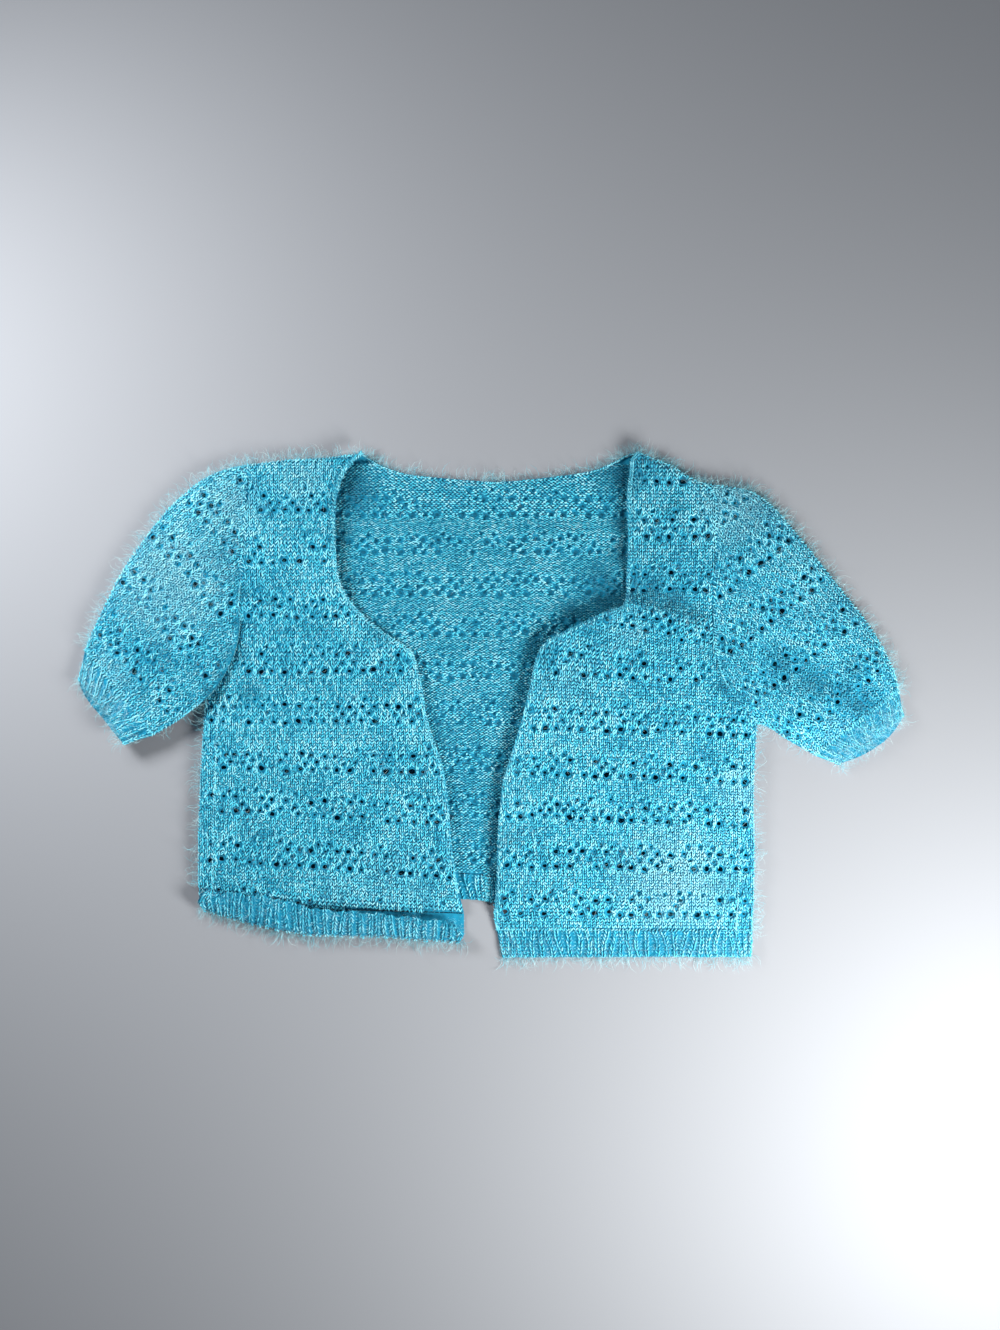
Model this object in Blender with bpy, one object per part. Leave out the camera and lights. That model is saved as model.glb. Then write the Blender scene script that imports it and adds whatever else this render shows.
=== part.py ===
"""A cropped open cardigan with puff sleeves, hand-knitted in mohair and laid flat on its back.

Metres, +Z up. The tables are in millimetres. X runs to the viewer's right, Y towards the neck, and the
underside lies at Z = 0. Left and right are the viewer's.
"""

import math

import bpy
from mathutils import Vector
from mathutils.geometry import delaunay_2d_cdt

MM = 0.001
WALL = 2.2  # thickness of the knitted cloth
SEAM_GAP = 0.3  # between pieces, at a seam or one above the other
LAYER = WALL + SEAM_GAP  # underside of a piece that lies on another
EDGE_STEP = 13.0  # spacing of the points along an outline
SUPPORT_MARGIN = 5.0  # from a point inside a panel to the nearest edge or eyelet

EYELET_PITCH = 10.2  # three stitches
EYELET_WIDE = 5.4
EYELET_HIGH = 5.0
EYELET_MARGIN = 12.0  # from an eyelet's centre to the cloth's edge
# The back and the sleeves have every second eyelet of a row cut through, the fronts every one.
SPARSE = 2

RIB_RISE = 0.8  # of a rib above the valley beside it
SLEEVE_PUFF = 3.7  # the most that a sleeve's top layer lifts off the one below
PUFF_REACH = 38.0  # from the sleeve's edge to its full height
GATHER_RISE = 1.1
GATHER_START = 6.0  # back from the cuff's seam, where the gathers have their full height
GATHER_LENGTH = 42.0
GATHERS = 8
GATHER_ROWS = (9.0, 24.0, 44.0)  # rows of points that hold them, back from the cuff's seam
EYELETS_EACH_WAY = 14  # from a sleeve's middle line
ROLL_RADIUS = 2.7  # of the turned-up hem, along the middle of its wall
ROLL_SWELL = 0.9  # of the turned-up layer, above the fold's own height
ROLL_FREE_LIFT = 0.4  # of its free edge, above the fold's own height
ROLL_SEAM_GAP = 0.9  # the slope of the cloth needs more room than a flat seam
FOLD_STEPS = 5  # straight lengths round the turned-up hem's fold
DROP_START = 3.0  # past the back's hem, where a front starts to sink to the surface
DROP_END = 15.0
LEVEL_FROM_X = 150.0  # from here to the right side seam, the front's hem lies on the back's
LEVEL_WIDTH = 20.0
CUFF_PUFF = 1.6  # the most that a cuff's top layer lifts off the one below

# Spacing of the points that hold a panel's height, by how much it bends.
FLAT_GRID = 60.0
FRONT_GRID = 45.0
SLEEVE_GRID = 24.0
DROP_GRID = 10.0

# Edges, each a smooth line through its points. Corners lie where two edges meet.
SHOULDER_LEFT = [(-103, 204), (-131, 201), (-164, 199), (-197, 195)]
ARMHOLE_LEFT = [
    (-197, 195), (-200, 151), (-202, 110), (-204.5, 85), (-204, 65), (-208, 43), (-219, 20), (-232, 4),
]
SIDE_LEFT = [(-232, 4), (-235, -45), (-237, -94), (-237.5, -146)]
NECK_LEFT = [
    (-62, 39), (-68, 47), (-87, 60), (-106, 76), (-118, 91), (-124, 108), (-126, 137), (-125, 167), (-117, 190),
    (-103, 204),
]
FRONT_EDGE_LEFT = [
    (-24, -168), (-26, -151), (-31, -121), (-34, -88), (-38, -55), (-45, -32), (-52, -10), (-56, 16), (-62, 39),
]
SHOULDER_RIGHT = [(113, 207), (126, 202), (138, 198), (149, 193), (164, 184), (174, 180)]
ARMHOLE_RIGHT = [
    (174, 180), (182, 167), (182.5, 130), (181, 84), (182, 56), (186, 30), (194, 13), (216, -15),
]
SIDE_RIGHT = [(216, -15), (213, -77), (214, -118), (213, -160), (212, -183)]
HEM_SEAM_RIGHT = [(212, -183), (110, -183), (4, -183)]
FRONT_EDGE_RIGHT = [
    (4, -183), (2.5, -167), (4.5, -147), (5, -110), (9, -66), (15, -44), (25, -11), (31.5, 16), (36, 37),
]
NECK_RIGHT = [
    (36, 37), (44, 51), (63, 62), (94, 76.5), (108, 83), (110, 108), (111, 134), (110, 167), (113, 187),
    (113, 207),
]
BACK_NECK = [
    (-103, 204), (-91, 196), (-72, 189), (-52, 186), (-10, 182.5), (11, 182), (52, 186), (83, 191), (100, 199),
    (113, 207),
]
BACK_HEM = [
    (-237.5, -148), (-150, -153), (-22, -158), (4, -161), (60, -164), (120, -170), (170, -180), (200, -196),
    (212, -203),
]
BACK_RIB_DEPTH = 21.0

# Rows of the widest eyelets: height at the left end, height at the right end, the ends' X.
BANDS_FRONT_LEFT = [
    (158, 158, -200, -120), (116.5, 116.5, -204, -118), (72.5, 72.5, -208, -98), (27.7, 27.7, -222, -56),
    (-13, -13, -236, -48), (-50.5, -54.6, -238, -38), (-84, -96, -238, -32), (-124, -139.5, -238, -26),
]
BANDS_FRONT_RIGHT = [
    (181, 181, 112, 180), (136, 136, 109, 184), (93.7, 93.7, 108, 184), (78, 46.5, 60, 186),
    (28.5, 17.9, 32, 192), (-17, -25, 20, 214), (-54.6, -61, 8, 214), (-88.8, -97, 4, 214),
    (-128.8, -133.7, 4, 214), (-169, -170, 2, 214),
]
BANDS_BACK = [
    (154.9, 154.9, -118, 102), (125.5, 125.5, -119, 102), (91.3, 91.3, -110, 100), (57.9, 57.9, -76, 48),
    (22.8, 22.8, -50, 26), (-14.7, -14.7, -44, 16), (-52.2, -52.2, -31, 4), (-89.7, -89.7, -27, 0),
    (-127.1, -127.1, -24, 0),
]

# The turned-up hem of the left front: X, then Y of its seam, its free edge and its fold.
ROLL_STATIONS = [
    (-237.5, -157, -152, -166), (-204, -161, -154, -176), (-172, -164, -158, -184), (-140, -166, -166, -188),
    (-87, -167, -170, -189), (-54, -168, -174, -191.5), (-22, -169, -177, -193),
]
ROLL_RIBS = 30
HEM_RIBS_RIGHT = 30
CUFF_RIBS = 12
RIB_COLUMNS = 3  # points along the hem for each rib: a valley and the rib's two shoulders
HEM_ROWS = 3
CUFF_ROWS = 2
PLAIN_COLUMNS = 10  # a band whose ribs don't show is plain
PLAIN_CUFF_COLUMNS = 4
HEM_SEAM_Y = -183  # of the right front
HEM_RIGHT = {
    "seam": [(4.6, -183.3), (110, -183.3), (211.6, -183.3)],
    "edge": [(9, -205.5), (110, -205), (211.6, -204.5)],
}
HEM_DROP = 16.0  # from the right front's hem seam, over which the hem sinks to what it lies on

SLEEVE_LEFT = {
    "outer": [
        (-197, 195), (-216, 191), (-237, 181), (-262, 159), (-282, 134), (-302, 104), (-319, 69), (-329, 46),
    ],
    "seam": [(-329, 46), (-301, 10), (-273, -24)],
    "underarm": [(-273, -24), (-255, -13.5), (-243, -5), (-232, 4)],
    "armhole": ARMHOLE_LEFT,
    "cuff_top": [(-335, 20), (-320, 4), (-306, -14), (-297, -31)],
    "cuff_under": [(-335, 16), (-327, 2), (-312, -15), (-297, -31)],
    "toward_cuff": (-0.75, -0.66),
    "bands": (20, 61, 103, 143),
}
SLEEVE_RIGHT = {
    "outer": [
        (174, 180), (201, 176), (216, 171), (231, 159), (244, 144), (263, 121), (285, 93), (304, 69), (319, 45),
        (328, 25), (331, 12),
    ],
    "seam": [(331, 12), (298, -13), (262, -40)],
    "underarm": [(262, -40), (240, -27.5), (226, -18), (216, -15)],
    "armhole": ARMHOLE_RIGHT,
    "cuff_top": [(335, -9), (318, -23), (301, -35), (283, -48)],
    "cuff_under": [(335, -11), (323, -27), (304, -40), (283, -48)],
    "toward_cuff": (0.62, -0.78),
    "bands": (22, 65, 108, 150),
}

KNIT_BLUE = (0.145, 0.48, 0.66, 1.0)
LIGHT_BLUE = (0.24, 0.6, 0.76, 1.0)
SHADE_BLUE = (0.06, 0.3, 0.46, 1.0)


def clear_scene():
    for obj in list(bpy.data.objects):
        bpy.data.objects.remove(obj)


def wool(name, colour):
    """A matt mohair knit."""
    material = bpy.data.materials.new(name)
    material.use_nodes = True
    shader = material.node_tree.nodes["Principled BSDF"]
    shader.inputs["Base Color"].default_value = colour
    shader.inputs["Roughness"].default_value = 0.95
    shader.inputs["Metallic"].default_value = 0.0
    return material


def smooth_step(value):
    value = min(max(value, 0.0), 1.0)
    return value * value * (3 - 2 * value)


def point_at(points, t):
    """The point at share t of a smooth curve through the points, by Catmull and Rom's rule."""
    place = min(max(t, 0.0), 1.0) * (len(points) - 1)
    index = min(int(place), len(points) - 2)
    f = place - index
    before = Vector(points[max(index - 1, 0)])
    start = Vector(points[index])
    end = Vector(points[index + 1])
    after = Vector(points[min(index + 2, len(points) - 1)])
    return 0.5 * (
        2 * start
        + (end - before) * f
        + (2 * before - 5 * start + 4 * end - after) * f**2
        + (3 * start - before - 3 * end + after) * f**3
    )


def along(points, step=EDGE_STEP):
    """Points about a step apart on the smooth curve, without the last."""
    length = sum((Vector(b) - Vector(a)).length for a, b in zip(points, points[1:]))
    count = max(2, round(length / step))
    return [point_at(points, i / count) for i in range(count)]


def height_on(points, x):
    """Y of a line that runs from left to right, at this X."""
    for (x0, y0), (x1, y1) in zip(points, points[1:]):
        if x <= x1:
            return y0 + (y1 - y0) * (x - x0) / (x1 - x0)
    return points[-1][1]


def inset(outline, distance):
    """The closed outline, which runs anticlockwise, moved inwards."""
    moved = []
    count = len(outline)
    for i, point in enumerate(outline):
        one = (point - outline[i - 1]).normalized()
        two = (outline[(i + 1) % count] - point).normalized()
        inward = Vector((-one.y - two.y, one.x + two.x))
        moved.append(point + inward * (distance / max(inward.dot(Vector((-one.y, one.x))), 0.5)))
    return moved


def outline_of(*edges):
    """A closed outline from edges that follow each other, half a seam's gap inside them, anticlockwise."""
    points = [point for edge in edges for point in along(edge)]
    area = sum(a.x * b.y - b.x * a.y for a, b in zip(points, points[1:] + points[:1]))
    if area < 0:
        points.reverse()
    return inset(points, SEAM_GAP / 2)


def edge_distance(outline, x, y):
    """Distance to the outline, negative outside it."""
    nearest = math.inf
    inside = False
    for i, b in enumerate(outline):
        a = outline[i - 1]
        side = b - a
        share = min(max(((x - a.x) * side.x + (y - a.y) * side.y) / side.length_squared, 0.0), 1.0)
        nearest = min(nearest, math.hypot(a.x + side.x * share - x, a.y + side.y * share - y))
        if (a.y > y) != (b.y > y) and x < a.x + side.x * (y - a.y) / side.y:
            inside = not inside
    return nearest if inside else -nearest


def eyelet(x, y, along_x=1.0, along_y=0.0):
    """Corners of one eyelet, its width along the given direction."""
    wide, high = EYELET_WIDE / 2, EYELET_HIGH / 2
    corners = [(wide, 0), (0, high), (-wide, 0), (0, -high)]
    return [Vector((x + u * along_x - v * along_y, y + u * along_y + v * along_x)) for u, v in corners]


def band_eyelets(outline, bands, every=1):
    """Eyelets along each row, where they clear the cloth's edge."""
    holes = []
    for y_left, y_right, x_left, x_right in bands:
        count = int((x_right - x_left) / (EYELET_PITCH * every))
        for i in range(count + 1):
            x = x_left + (i + 0.5) * EYELET_PITCH * every
            y = y_left + (y_right - y_left) * (x - x_left) / (x_right - x_left)
            if edge_distance(outline, x, y) > EYELET_MARGIN:
                holes.append(eyelet(x, y))
    return holes


def finished(name, vertices, faces, material):
    mesh = bpy.data.meshes.new(name)
    mesh.from_pydata([(x * MM, y * MM, z * MM) for x, y, z in vertices], [], faces)
    mesh.materials.append(material)
    mesh.update()
    bpy.context.scene.collection.objects.link(bpy.data.objects.new(name, mesh))


def walled(name, flat, faces, underside, relief, material):
    """A closed wall from flat points and their faces, between its underside and its raised top."""
    count = len(flat)
    low = [(x, y, underside(x, y)) for x, y in flat]
    high = [(x, y, z + WALL + relief(x, y)) for x, y, z in low]
    solid = [tuple(i + count for i in face) for face in faces]
    solid += [tuple(reversed(face)) for face in faces]
    used = {(face[i - 1], face[i]) for face in faces for i in range(len(face))}
    for a, b in used:
        if (b, a) not in used:
            solid.append((a, b, b + count))
            solid.append((a, b + count, a + count))
    finished(name, low + high, solid, material)


def flush(x, y):
    """No height above the surface, or no relief on a wall."""
    return 0.0


def panel(name, outline, holes, supports, underside, material, relief=flush):
    """A sheet inside the outline with its holes cut through, and points that hold its height."""
    points = []
    edges = []
    hole_of = []
    for number, loop in enumerate([outline, *holes]):
        first = len(points)
        points += loop
        hole_of += [number] * len(loop)
        edges += [(first + i, first + (i + 1) % len(loop)) for i in range(len(loop))]
    for x, y in supports:
        place = Vector((x, y))
        nearest_hole = min(((place - hole[0]).length for hole in holes), default=math.inf)
        if edge_distance(outline, x, y) > SUPPORT_MARGIN and nearest_hole > SUPPORT_MARGIN:
            points.append(place)
            hole_of.append(0)
    flat, _, triangles, origins, _, _ = delaunay_2d_cdt(points, edges, [], 1, 1e-5)
    number_of = [hole_of[found[0]] if found else 0 for found in origins]
    faces = []
    for triangle in triangles:
        numbers = {number_of[i] for i in triangle}
        if len(numbers) > 1 or numbers == {0}:
            faces.append(tuple(triangle))
    walled(name, [(p.x, p.y) for p in flat], faces, underside, relief, material)


def grid_points(outline, step):
    xs = [p.x for p in outline]
    ys = [p.y for p in outline]
    across = int((max(xs) - min(xs)) / step) + 1
    up = int((max(ys) - min(ys)) / step) + 1
    return [
        (min(xs) + (i + 0.5 * (j % 2)) * step, min(ys) + j * step)
        for i in range(across + 1)
        for j in range(up + 1)
    ]


def on_back(x, y):
    """Underside of a front: on the back, and on the surface past the back's hem."""
    past = smooth_step((y - height_on(BACK_HEM, x) + DROP_END) / (DROP_END - DROP_START))
    near_side = smooth_step((x - LEVEL_FROM_X) / LEVEL_WIDTH)
    return LAYER * max(past, near_side)


def bend_points(x_first, x_last, past):
    """Points that hold a front's height along a bend, so far past the back's hem."""
    xs = [x_first + i * DROP_GRID for i in range(int((x_last - x_first) / DROP_GRID) + 1)]
    return [(x, height_on(BACK_HEM, x) - past) for x in xs]


def on_layer(x, y):
    """Underside of the right front, which lies level, one layer up."""
    return LAYER


def sinking_hem(x, y):
    """Underside of the right front's hem: from the front's own height down to what it lies on."""
    share = smooth_step((HEM_SEAM_Y - y) / HEM_DROP)
    return max(on_back(x, y), LAYER * (1 - share))


def ribbed(name, seam, edge, ribs, underside, rows, material, rise=RIB_RISE):
    """A band of ribs between its seam and its free edge, raised on the outer side only."""
    columns = RIB_COLUMNS * ribs
    flat = []
    lift = {}
    for i in range(columns + 1):
        t = i / columns
        start = point_at(seam, t)
        end = point_at(edge, t)
        for row in range(rows + 1):
            place = start.lerp(end, row / rows)
            flat.append((place.x, place.y))
            lift[(place.x, place.y)] = rise if i % RIB_COLUMNS and 0 < i < columns else 0.0
    faces = []
    for i in range(columns):
        for row in range(rows):
            a = i * (rows + 1) + row
            b = a + rows + 1
            faces += [(a, a + 1, b + 1), (a, b + 1, b)]
    down = Vector(flat[1]) - Vector(flat[0])
    sideways = Vector(flat[rows + 1]) - Vector(flat[0])
    if down.x * sideways.y - down.y * sideways.x < 0:
        faces = [tuple(reversed(face)) for face in faces]
    walled(name, flat, faces, underside, lambda x, y: lift[(x, y)], material)


def table_row(table, x):
    """The table's row at this X, by straight lines between its rows."""
    for left, right in zip(table, table[1:]):
        if x <= right[0]:
            share = (x - left[0]) / (right[0] - left[0])
            return [a + (b - a) * share for a, b in zip(left, right)]
    return list(table[-1])


def roll_section(x, rise):
    """Inner and outer side, as (Y, Z), of the turned-up hem's section: out, round the fold and back."""
    _, seam_y, free_y, fold_y = table_row(ROLL_STATIONS, x)
    half = WALL / 2
    seam_y -= ROLL_SEAM_GAP
    centre_y = fold_y + ROLL_RADIUS + half
    level = on_back(x, centre_y)
    top = level + 2 * ROLL_RADIUS
    under = [(y, on_back(x, y)) for y in (seam_y, 0.5 * (seam_y + centre_y), centre_y)]
    fold = [
        (centre_y - ROLL_RADIUS * math.sin(turn), level + ROLL_RADIUS * (1 - math.cos(turn)))
        for turn in (math.pi * k / FOLD_STEPS for k in range(1, FOLD_STEPS))
    ]
    turned_up = [(centre_y, top), (0.5 * (centre_y + free_y), top + ROLL_SWELL), (free_y, top + ROLL_FREE_LIFT)]
    middle = [Vector((y, z + half)) for y, z in under + fold + turned_up]
    inner = []
    outer = []
    for i, point in enumerate(middle):
        before = middle[max(i - 1, 0)]
        after = middle[min(i + 1, len(middle) - 1)]
        way = (after - before).normalized()
        right = Vector((way.y, -way.x))
        raised = rise if i > len(under) else 0.0
        inner.append(point + right * half)
        outer.append(point - right * (half + raised))
    return inner, outer


def rolled_hem(name, material):
    """The left front's ribbed hem, rolled outwards and up, with its ribs on the side that shows."""
    x_first = ROLL_STATIONS[0][0]
    x_last = ROLL_STATIONS[-1][0]
    columns = 2 * ROLL_RIBS
    vertices = []
    sections = []
    for i in range(columns + 1):
        x = x_first + (x_last - x_first) * i / columns
        rise = RIB_RISE if i % 2 else 0.0
        inner, outer = roll_section(x, rise)
        ring = inner + outer[::-1]
        sections.append(range(len(vertices), len(vertices) + len(ring)))
        vertices += [(x, p.x, p.y) for p in ring]
    count = len(sections[0])
    faces = []
    for a, b in zip(sections, sections[1:]):
        for k in range(count):
            n = (k + 1) % count
            faces += [(a[k], b[n], b[k]), (a[k], a[n], b[n])]
    half = count // 2
    for ring, forward in ((sections[0], False), (sections[-1], True)):
        for k in range(half - 1):
            quad = (ring[k], ring[k + 1], ring[count - 2 - k], ring[count - 1 - k])
            faces.append(quad if forward else tuple(reversed(quad)))
    finished(name, vertices, faces, material)


def sleeve_outline(sleeve):
    return outline_of(sleeve["outer"], sleeve["seam"], sleeve["underarm"], sleeve["armhole"][::-1])


def sleeve_heights(sleeve, outline):
    """Underside of the top layer: a low puff with gathers that run out of the cuff's seam."""
    start = Vector(sleeve["seam"][0])
    end = Vector(sleeve["seam"][-1])
    across = (end - start).normalized()
    toward = Vector(sleeve["toward_cuff"]).normalized()

    def place(x, y):
        offset = Vector((x, y)) - start
        return offset.dot(across) / (end - start).length, -offset.dot(toward)

    def underside(x, y):
        inside = max(edge_distance(outline, x, y), 0.0)
        near = min(inside / PUFF_REACH, 1.0)
        return LAYER + SLEEVE_PUFF * math.sqrt(1 - (1 - near) ** 2)

    def gathers(x, y):
        share, back = place(x, y)
        fade = smooth_step(1 - back / GATHER_LENGTH) * smooth_step(back / GATHER_START)
        return GATHER_RISE * fade * (0.5 - 0.5 * math.cos(2 * math.pi * GATHERS * share))

    return underside, gathers


def gather_supports(sleeve):
    """Points on every gather's top and foot, in rows that leave the cuff's seam."""
    start = Vector(sleeve["seam"][0])
    end = Vector(sleeve["seam"][-1])
    toward = Vector(sleeve["toward_cuff"]).normalized()
    points = []
    for back in GATHER_ROWS:
        for i in range(1, 2 * GATHERS):
            point = start.lerp(end, i / (2 * GATHERS)) - toward * back
            points.append((point.x, point.y))
    return points


def sleeve_eyelets(sleeve, outline):
    """Rows of eyelets across the sleeve, as far back from the cuff's seam as its table says."""
    seam_middle = (Vector(sleeve["seam"][0]) + Vector(sleeve["seam"][-1])) / 2
    toward = Vector(sleeve["toward_cuff"]).normalized()
    across = Vector((-toward.y, toward.x))
    holes = []
    for back in sleeve["bands"]:
        for i in range(-EYELETS_EACH_WAY, EYELETS_EACH_WAY + 1, SPARSE):
            point = seam_middle - toward * back + across * (i * EYELET_PITCH)
            if edge_distance(outline, point.x, point.y) > EYELET_MARGIN:
                holes.append(eyelet(point.x, point.y, across.x, across.y))
    return holes


def shortened(points, gap):
    """A seam's two ends drawn in by half a gap, so that a cuff starts level with its sleeve."""
    first, last = Vector(points[0]), Vector(points[-1])
    way = (last - first).normalized() * gap
    return [first + way, *points[1:-1], last - way]


def build_sleeve(side, sleeve, material, rib_material):
    outline = sleeve_outline(sleeve)
    underside, gathers = sleeve_heights(sleeve, outline)
    supports = gather_supports(sleeve) + grid_points(outline, SLEEVE_GRID)
    holes = sleeve_eyelets(sleeve, outline)
    panel(f"sleeve_{side}_top", outline, holes, supports, underside, material, gathers)
    panel(f"sleeve_{side}_under", outline, [], [], flush, material)
    toward = Vector(sleeve["toward_cuff"]).normalized()
    seam = [Vector(p) + toward * SEAM_GAP for p in shortened(sleeve["seam"], SEAM_GAP / 2)]

    def cuff_height(x, y):
        start, end = Vector(seam[0]), Vector(seam[-1])
        share = (Vector((x, y)) - start).dot(end - start) / (end - start).length_squared
        return LAYER + CUFF_PUFF * math.sin(math.pi * min(max(share, 0.0), 1.0))

    ribbed(f"cuff_{side}_top", seam, sleeve["cuff_top"], CUFF_RIBS, cuff_height, CUFF_ROWS, rib_material)
    under = f"cuff_{side}_under"
    ribbed(under, seam, sleeve["cuff_under"], PLAIN_CUFF_COLUMNS, flush, 1, rib_material, 0.0)


def build_back(material, rib_material):
    seam = [(x, y + BACK_RIB_DEPTH) for x, y in BACK_HEM]
    side_left = [*SIDE_LEFT[:-1], seam[0]]
    side_right = [*SIDE_RIGHT[:-1], seam[-1]]
    outline = outline_of(
        BACK_NECK, SHOULDER_RIGHT, ARMHOLE_RIGHT, side_right, seam[::-1], side_left[::-1], ARMHOLE_LEFT[::-1],
        SHOULDER_LEFT[::-1],
    )
    holes = band_eyelets(outline, BANDS_BACK, SPARSE)
    panel("back", outline, holes, grid_points(outline, FLAT_GRID), flush, material)
    lowered = [(x, y - SEAM_GAP) for x, y in seam]
    ribbed("back_hem_rib", lowered, BACK_HEM, PLAIN_COLUMNS, flush, 1, rib_material, 0.0)


def build_front_left(material, rib_material):
    seam = [(x, y) for x, y, _, _ in ROLL_STATIONS]
    side = [*SIDE_LEFT[:-1], seam[0]]
    front_edge = [seam[-1], *FRONT_EDGE_LEFT[1:]]
    outline = outline_of(SHOULDER_LEFT, ARMHOLE_LEFT, side, seam, front_edge, NECK_LEFT)
    holes = band_eyelets(outline, BANDS_FRONT_LEFT)
    supports = bend_points(-232, -32, DROP_START) + grid_points(outline, FRONT_GRID)
    panel("front_left", outline, holes, supports, on_back, material)
    rolled_hem("front_left_hem_rib", rib_material)


def build_front_right(material, rib_material):
    outline = outline_of(
        SHOULDER_RIGHT, ARMHOLE_RIGHT, SIDE_RIGHT, HEM_SEAM_RIGHT, FRONT_EDGE_RIGHT, NECK_RIGHT
    )
    holes = band_eyelets(outline, BANDS_FRONT_RIGHT)
    supports = grid_points(outline, FRONT_GRID)
    panel("front_right", outline, holes, supports, on_layer, material)
    seam, edge = HEM_RIGHT["seam"], HEM_RIGHT["edge"]
    ribbed("front_right_hem_rib", seam, edge, HEM_RIBS_RIGHT, sinking_hem, HEM_ROWS, rib_material)


def main():
    clear_scene()
    knit = wool("mohair_knit", KNIT_BLUE)
    light = wool("mohair_knit_sleeve", LIGHT_BLUE)
    ribs = wool("mohair_rib", SHADE_BLUE)
    build_back(knit, ribs)
    build_front_left(knit, ribs)
    build_front_right(knit, ribs)
    build_sleeve("left", SLEEVE_LEFT, light, ribs)
    build_sleeve("right", SLEEVE_RIGHT, light, ribs)


main()
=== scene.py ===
"""A cropped open cardigan with puff sleeves, hand-knitted in mohair and laid flat: its cloth and its looks.

Blender's units are metres, and the tables are in millimetres. X runs to the viewer's right, Y towards the
neck, and Z up off the surface. Left and right are the viewer's. Each panel is a thin cloth with its eyelets
cut through, or on the back closed and coloured with painted shade, covered with separate knitted loops, and a
down of fine hairs stands off it.
"""

import math

import bmesh
import bpy
import numpy as np
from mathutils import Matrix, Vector
from mathutils.geometry import delaunay_2d_cdt


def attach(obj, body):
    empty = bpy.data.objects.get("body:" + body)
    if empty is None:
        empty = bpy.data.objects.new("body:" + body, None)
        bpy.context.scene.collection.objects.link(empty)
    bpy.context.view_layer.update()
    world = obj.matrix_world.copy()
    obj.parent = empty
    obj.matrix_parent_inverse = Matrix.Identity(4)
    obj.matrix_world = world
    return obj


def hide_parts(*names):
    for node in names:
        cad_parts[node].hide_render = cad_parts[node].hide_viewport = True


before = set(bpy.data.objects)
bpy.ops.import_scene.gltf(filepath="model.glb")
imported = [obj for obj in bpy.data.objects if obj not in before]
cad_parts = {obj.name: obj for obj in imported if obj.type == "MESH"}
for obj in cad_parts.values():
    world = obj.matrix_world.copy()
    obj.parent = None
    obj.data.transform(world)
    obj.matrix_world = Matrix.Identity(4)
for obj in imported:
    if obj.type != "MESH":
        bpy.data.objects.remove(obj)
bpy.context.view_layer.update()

MM = 0.001

# The cloth.
SHELL = 1.3  # the thin cloth under the knitted loops
BAND = 1.4  # the cloth of a ribbed band, under its ribs
LAYER = 2.5  # a second layer's underside
SEAM_GAP = 0.3
HIGHEST = 17.6  # of a strand's middle
LOFT = 4.0  # how far a front rises off the back, away from its edges
LOFT_REACH = 7.0
HEM_REACH = 26.0  # from a hem's seam to a front's full loft
SAG_FROM = 13.0  # height from which the cloth sinks under its own weight
SAG_SHARE = 0.35  # what is left of its rise past that height
FRONT_RIPPLE = 0.7  # height of a front's gentle unevenness
SLEEVE_RIPPLE = 0.9
SLEEVE_EASE = 16.0  # from a sleeve's edge to where its folds have their full height
UNDER_RIPPLE = 0.25  # of a layer that lies on the surface
UNDER_EASE = 10.0
OVERLAP = 9.0  # from a front's edge inwards to where it hides the back
DROP_START = 3.0  # past the back's hem, where a front starts to sink to the surface
DROP_END = 15.0
LEVEL_FROM_X = 150.0  # from here to the right side seam, the front's hem lies on the back's
LEVEL_WIDTH = 20.0

# How finely it is worked out.
OUTLINE_STEP = 4.0
SURFACE_STEP = 8.0
SUPPORT_MARGIN = 2.5  # from a point inside a panel to the panel's edge
EYELET_CLEARANCE = 3.5  # from such a point to an eyelet's centre
SLOPE_STEP = 1.5  # to each side of the place where a slope is taken
BAND_STEP = 0.004  # the same on a band, as a share of its length or depth
SIDE_TEST = 3.0  # how far off an edge the panel's inner side is looked for

# The knitting.
STITCH = 3.4  # width of one stitch
LACE_ROW = 3.25
PLAIN_ROW = 2.6
LACE_ROWS = 7
PLAIN_ROWS = 8
REPEAT = (LACE_ROWS - 1) * LACE_ROW + (PLAIN_ROWS + 1) * PLAIN_ROW
EYELET_PITCH = 3 * STITCH
EYELET_MARGIN = 4.5  # from an eyelet's centre to the panel's edge
EYELET_STRAY = (0.95, 0.75)  # along its row and across it
EYELET_GROWTH = (0.5, 1.15)
EYELET_RAGGED = (0.66, 1.12)  # reach of an eyelet's corners, as shares of its half width
LARGE_EYELET = 1.8  # half width from which an eyelet has more corners
RIM = 0.75  # from an eyelet's edge to the loops round it
RIM_REACH = 2.4  # from the rim to the last loops that give way to it
RIM_PULL = 0.75  # how far a loop on the rim turns along it
RIM_INSIDE = 0.45  # share of the rim's radius inside which a loop is dropped
LEG_LEAN = math.radians(24)
LEG_SWAY = 0.2
LEG_APART = 0.24  # from a stitch's middle line to each leg, as a share of its width
BUMP_LEAN = 0.25
BUMP_SWAY = 0.13
BUMP_APART = (0.25, 0.24)  # from a stitch's middle to each bump, as shares of its width and height
BUMP_THIN = 0.9
LOOP_STRAY = 0.18
LOOP_LIFT = (0.35, 0.28)  # of a loop off the cloth: mean and spread
LOOP_GROWTH = (0.8, 1.2)
STITCH_MARGIN = 0.6  # from a stitch's middle to the panel's edge
LOOP_MARGIN = 0.4  # the same for one of its two loops

# A line of loops along an edge or a seam.
CHAIN_SWAY = 0.35
CHAIN_GROWTH = (0.85, 1.15)

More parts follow.
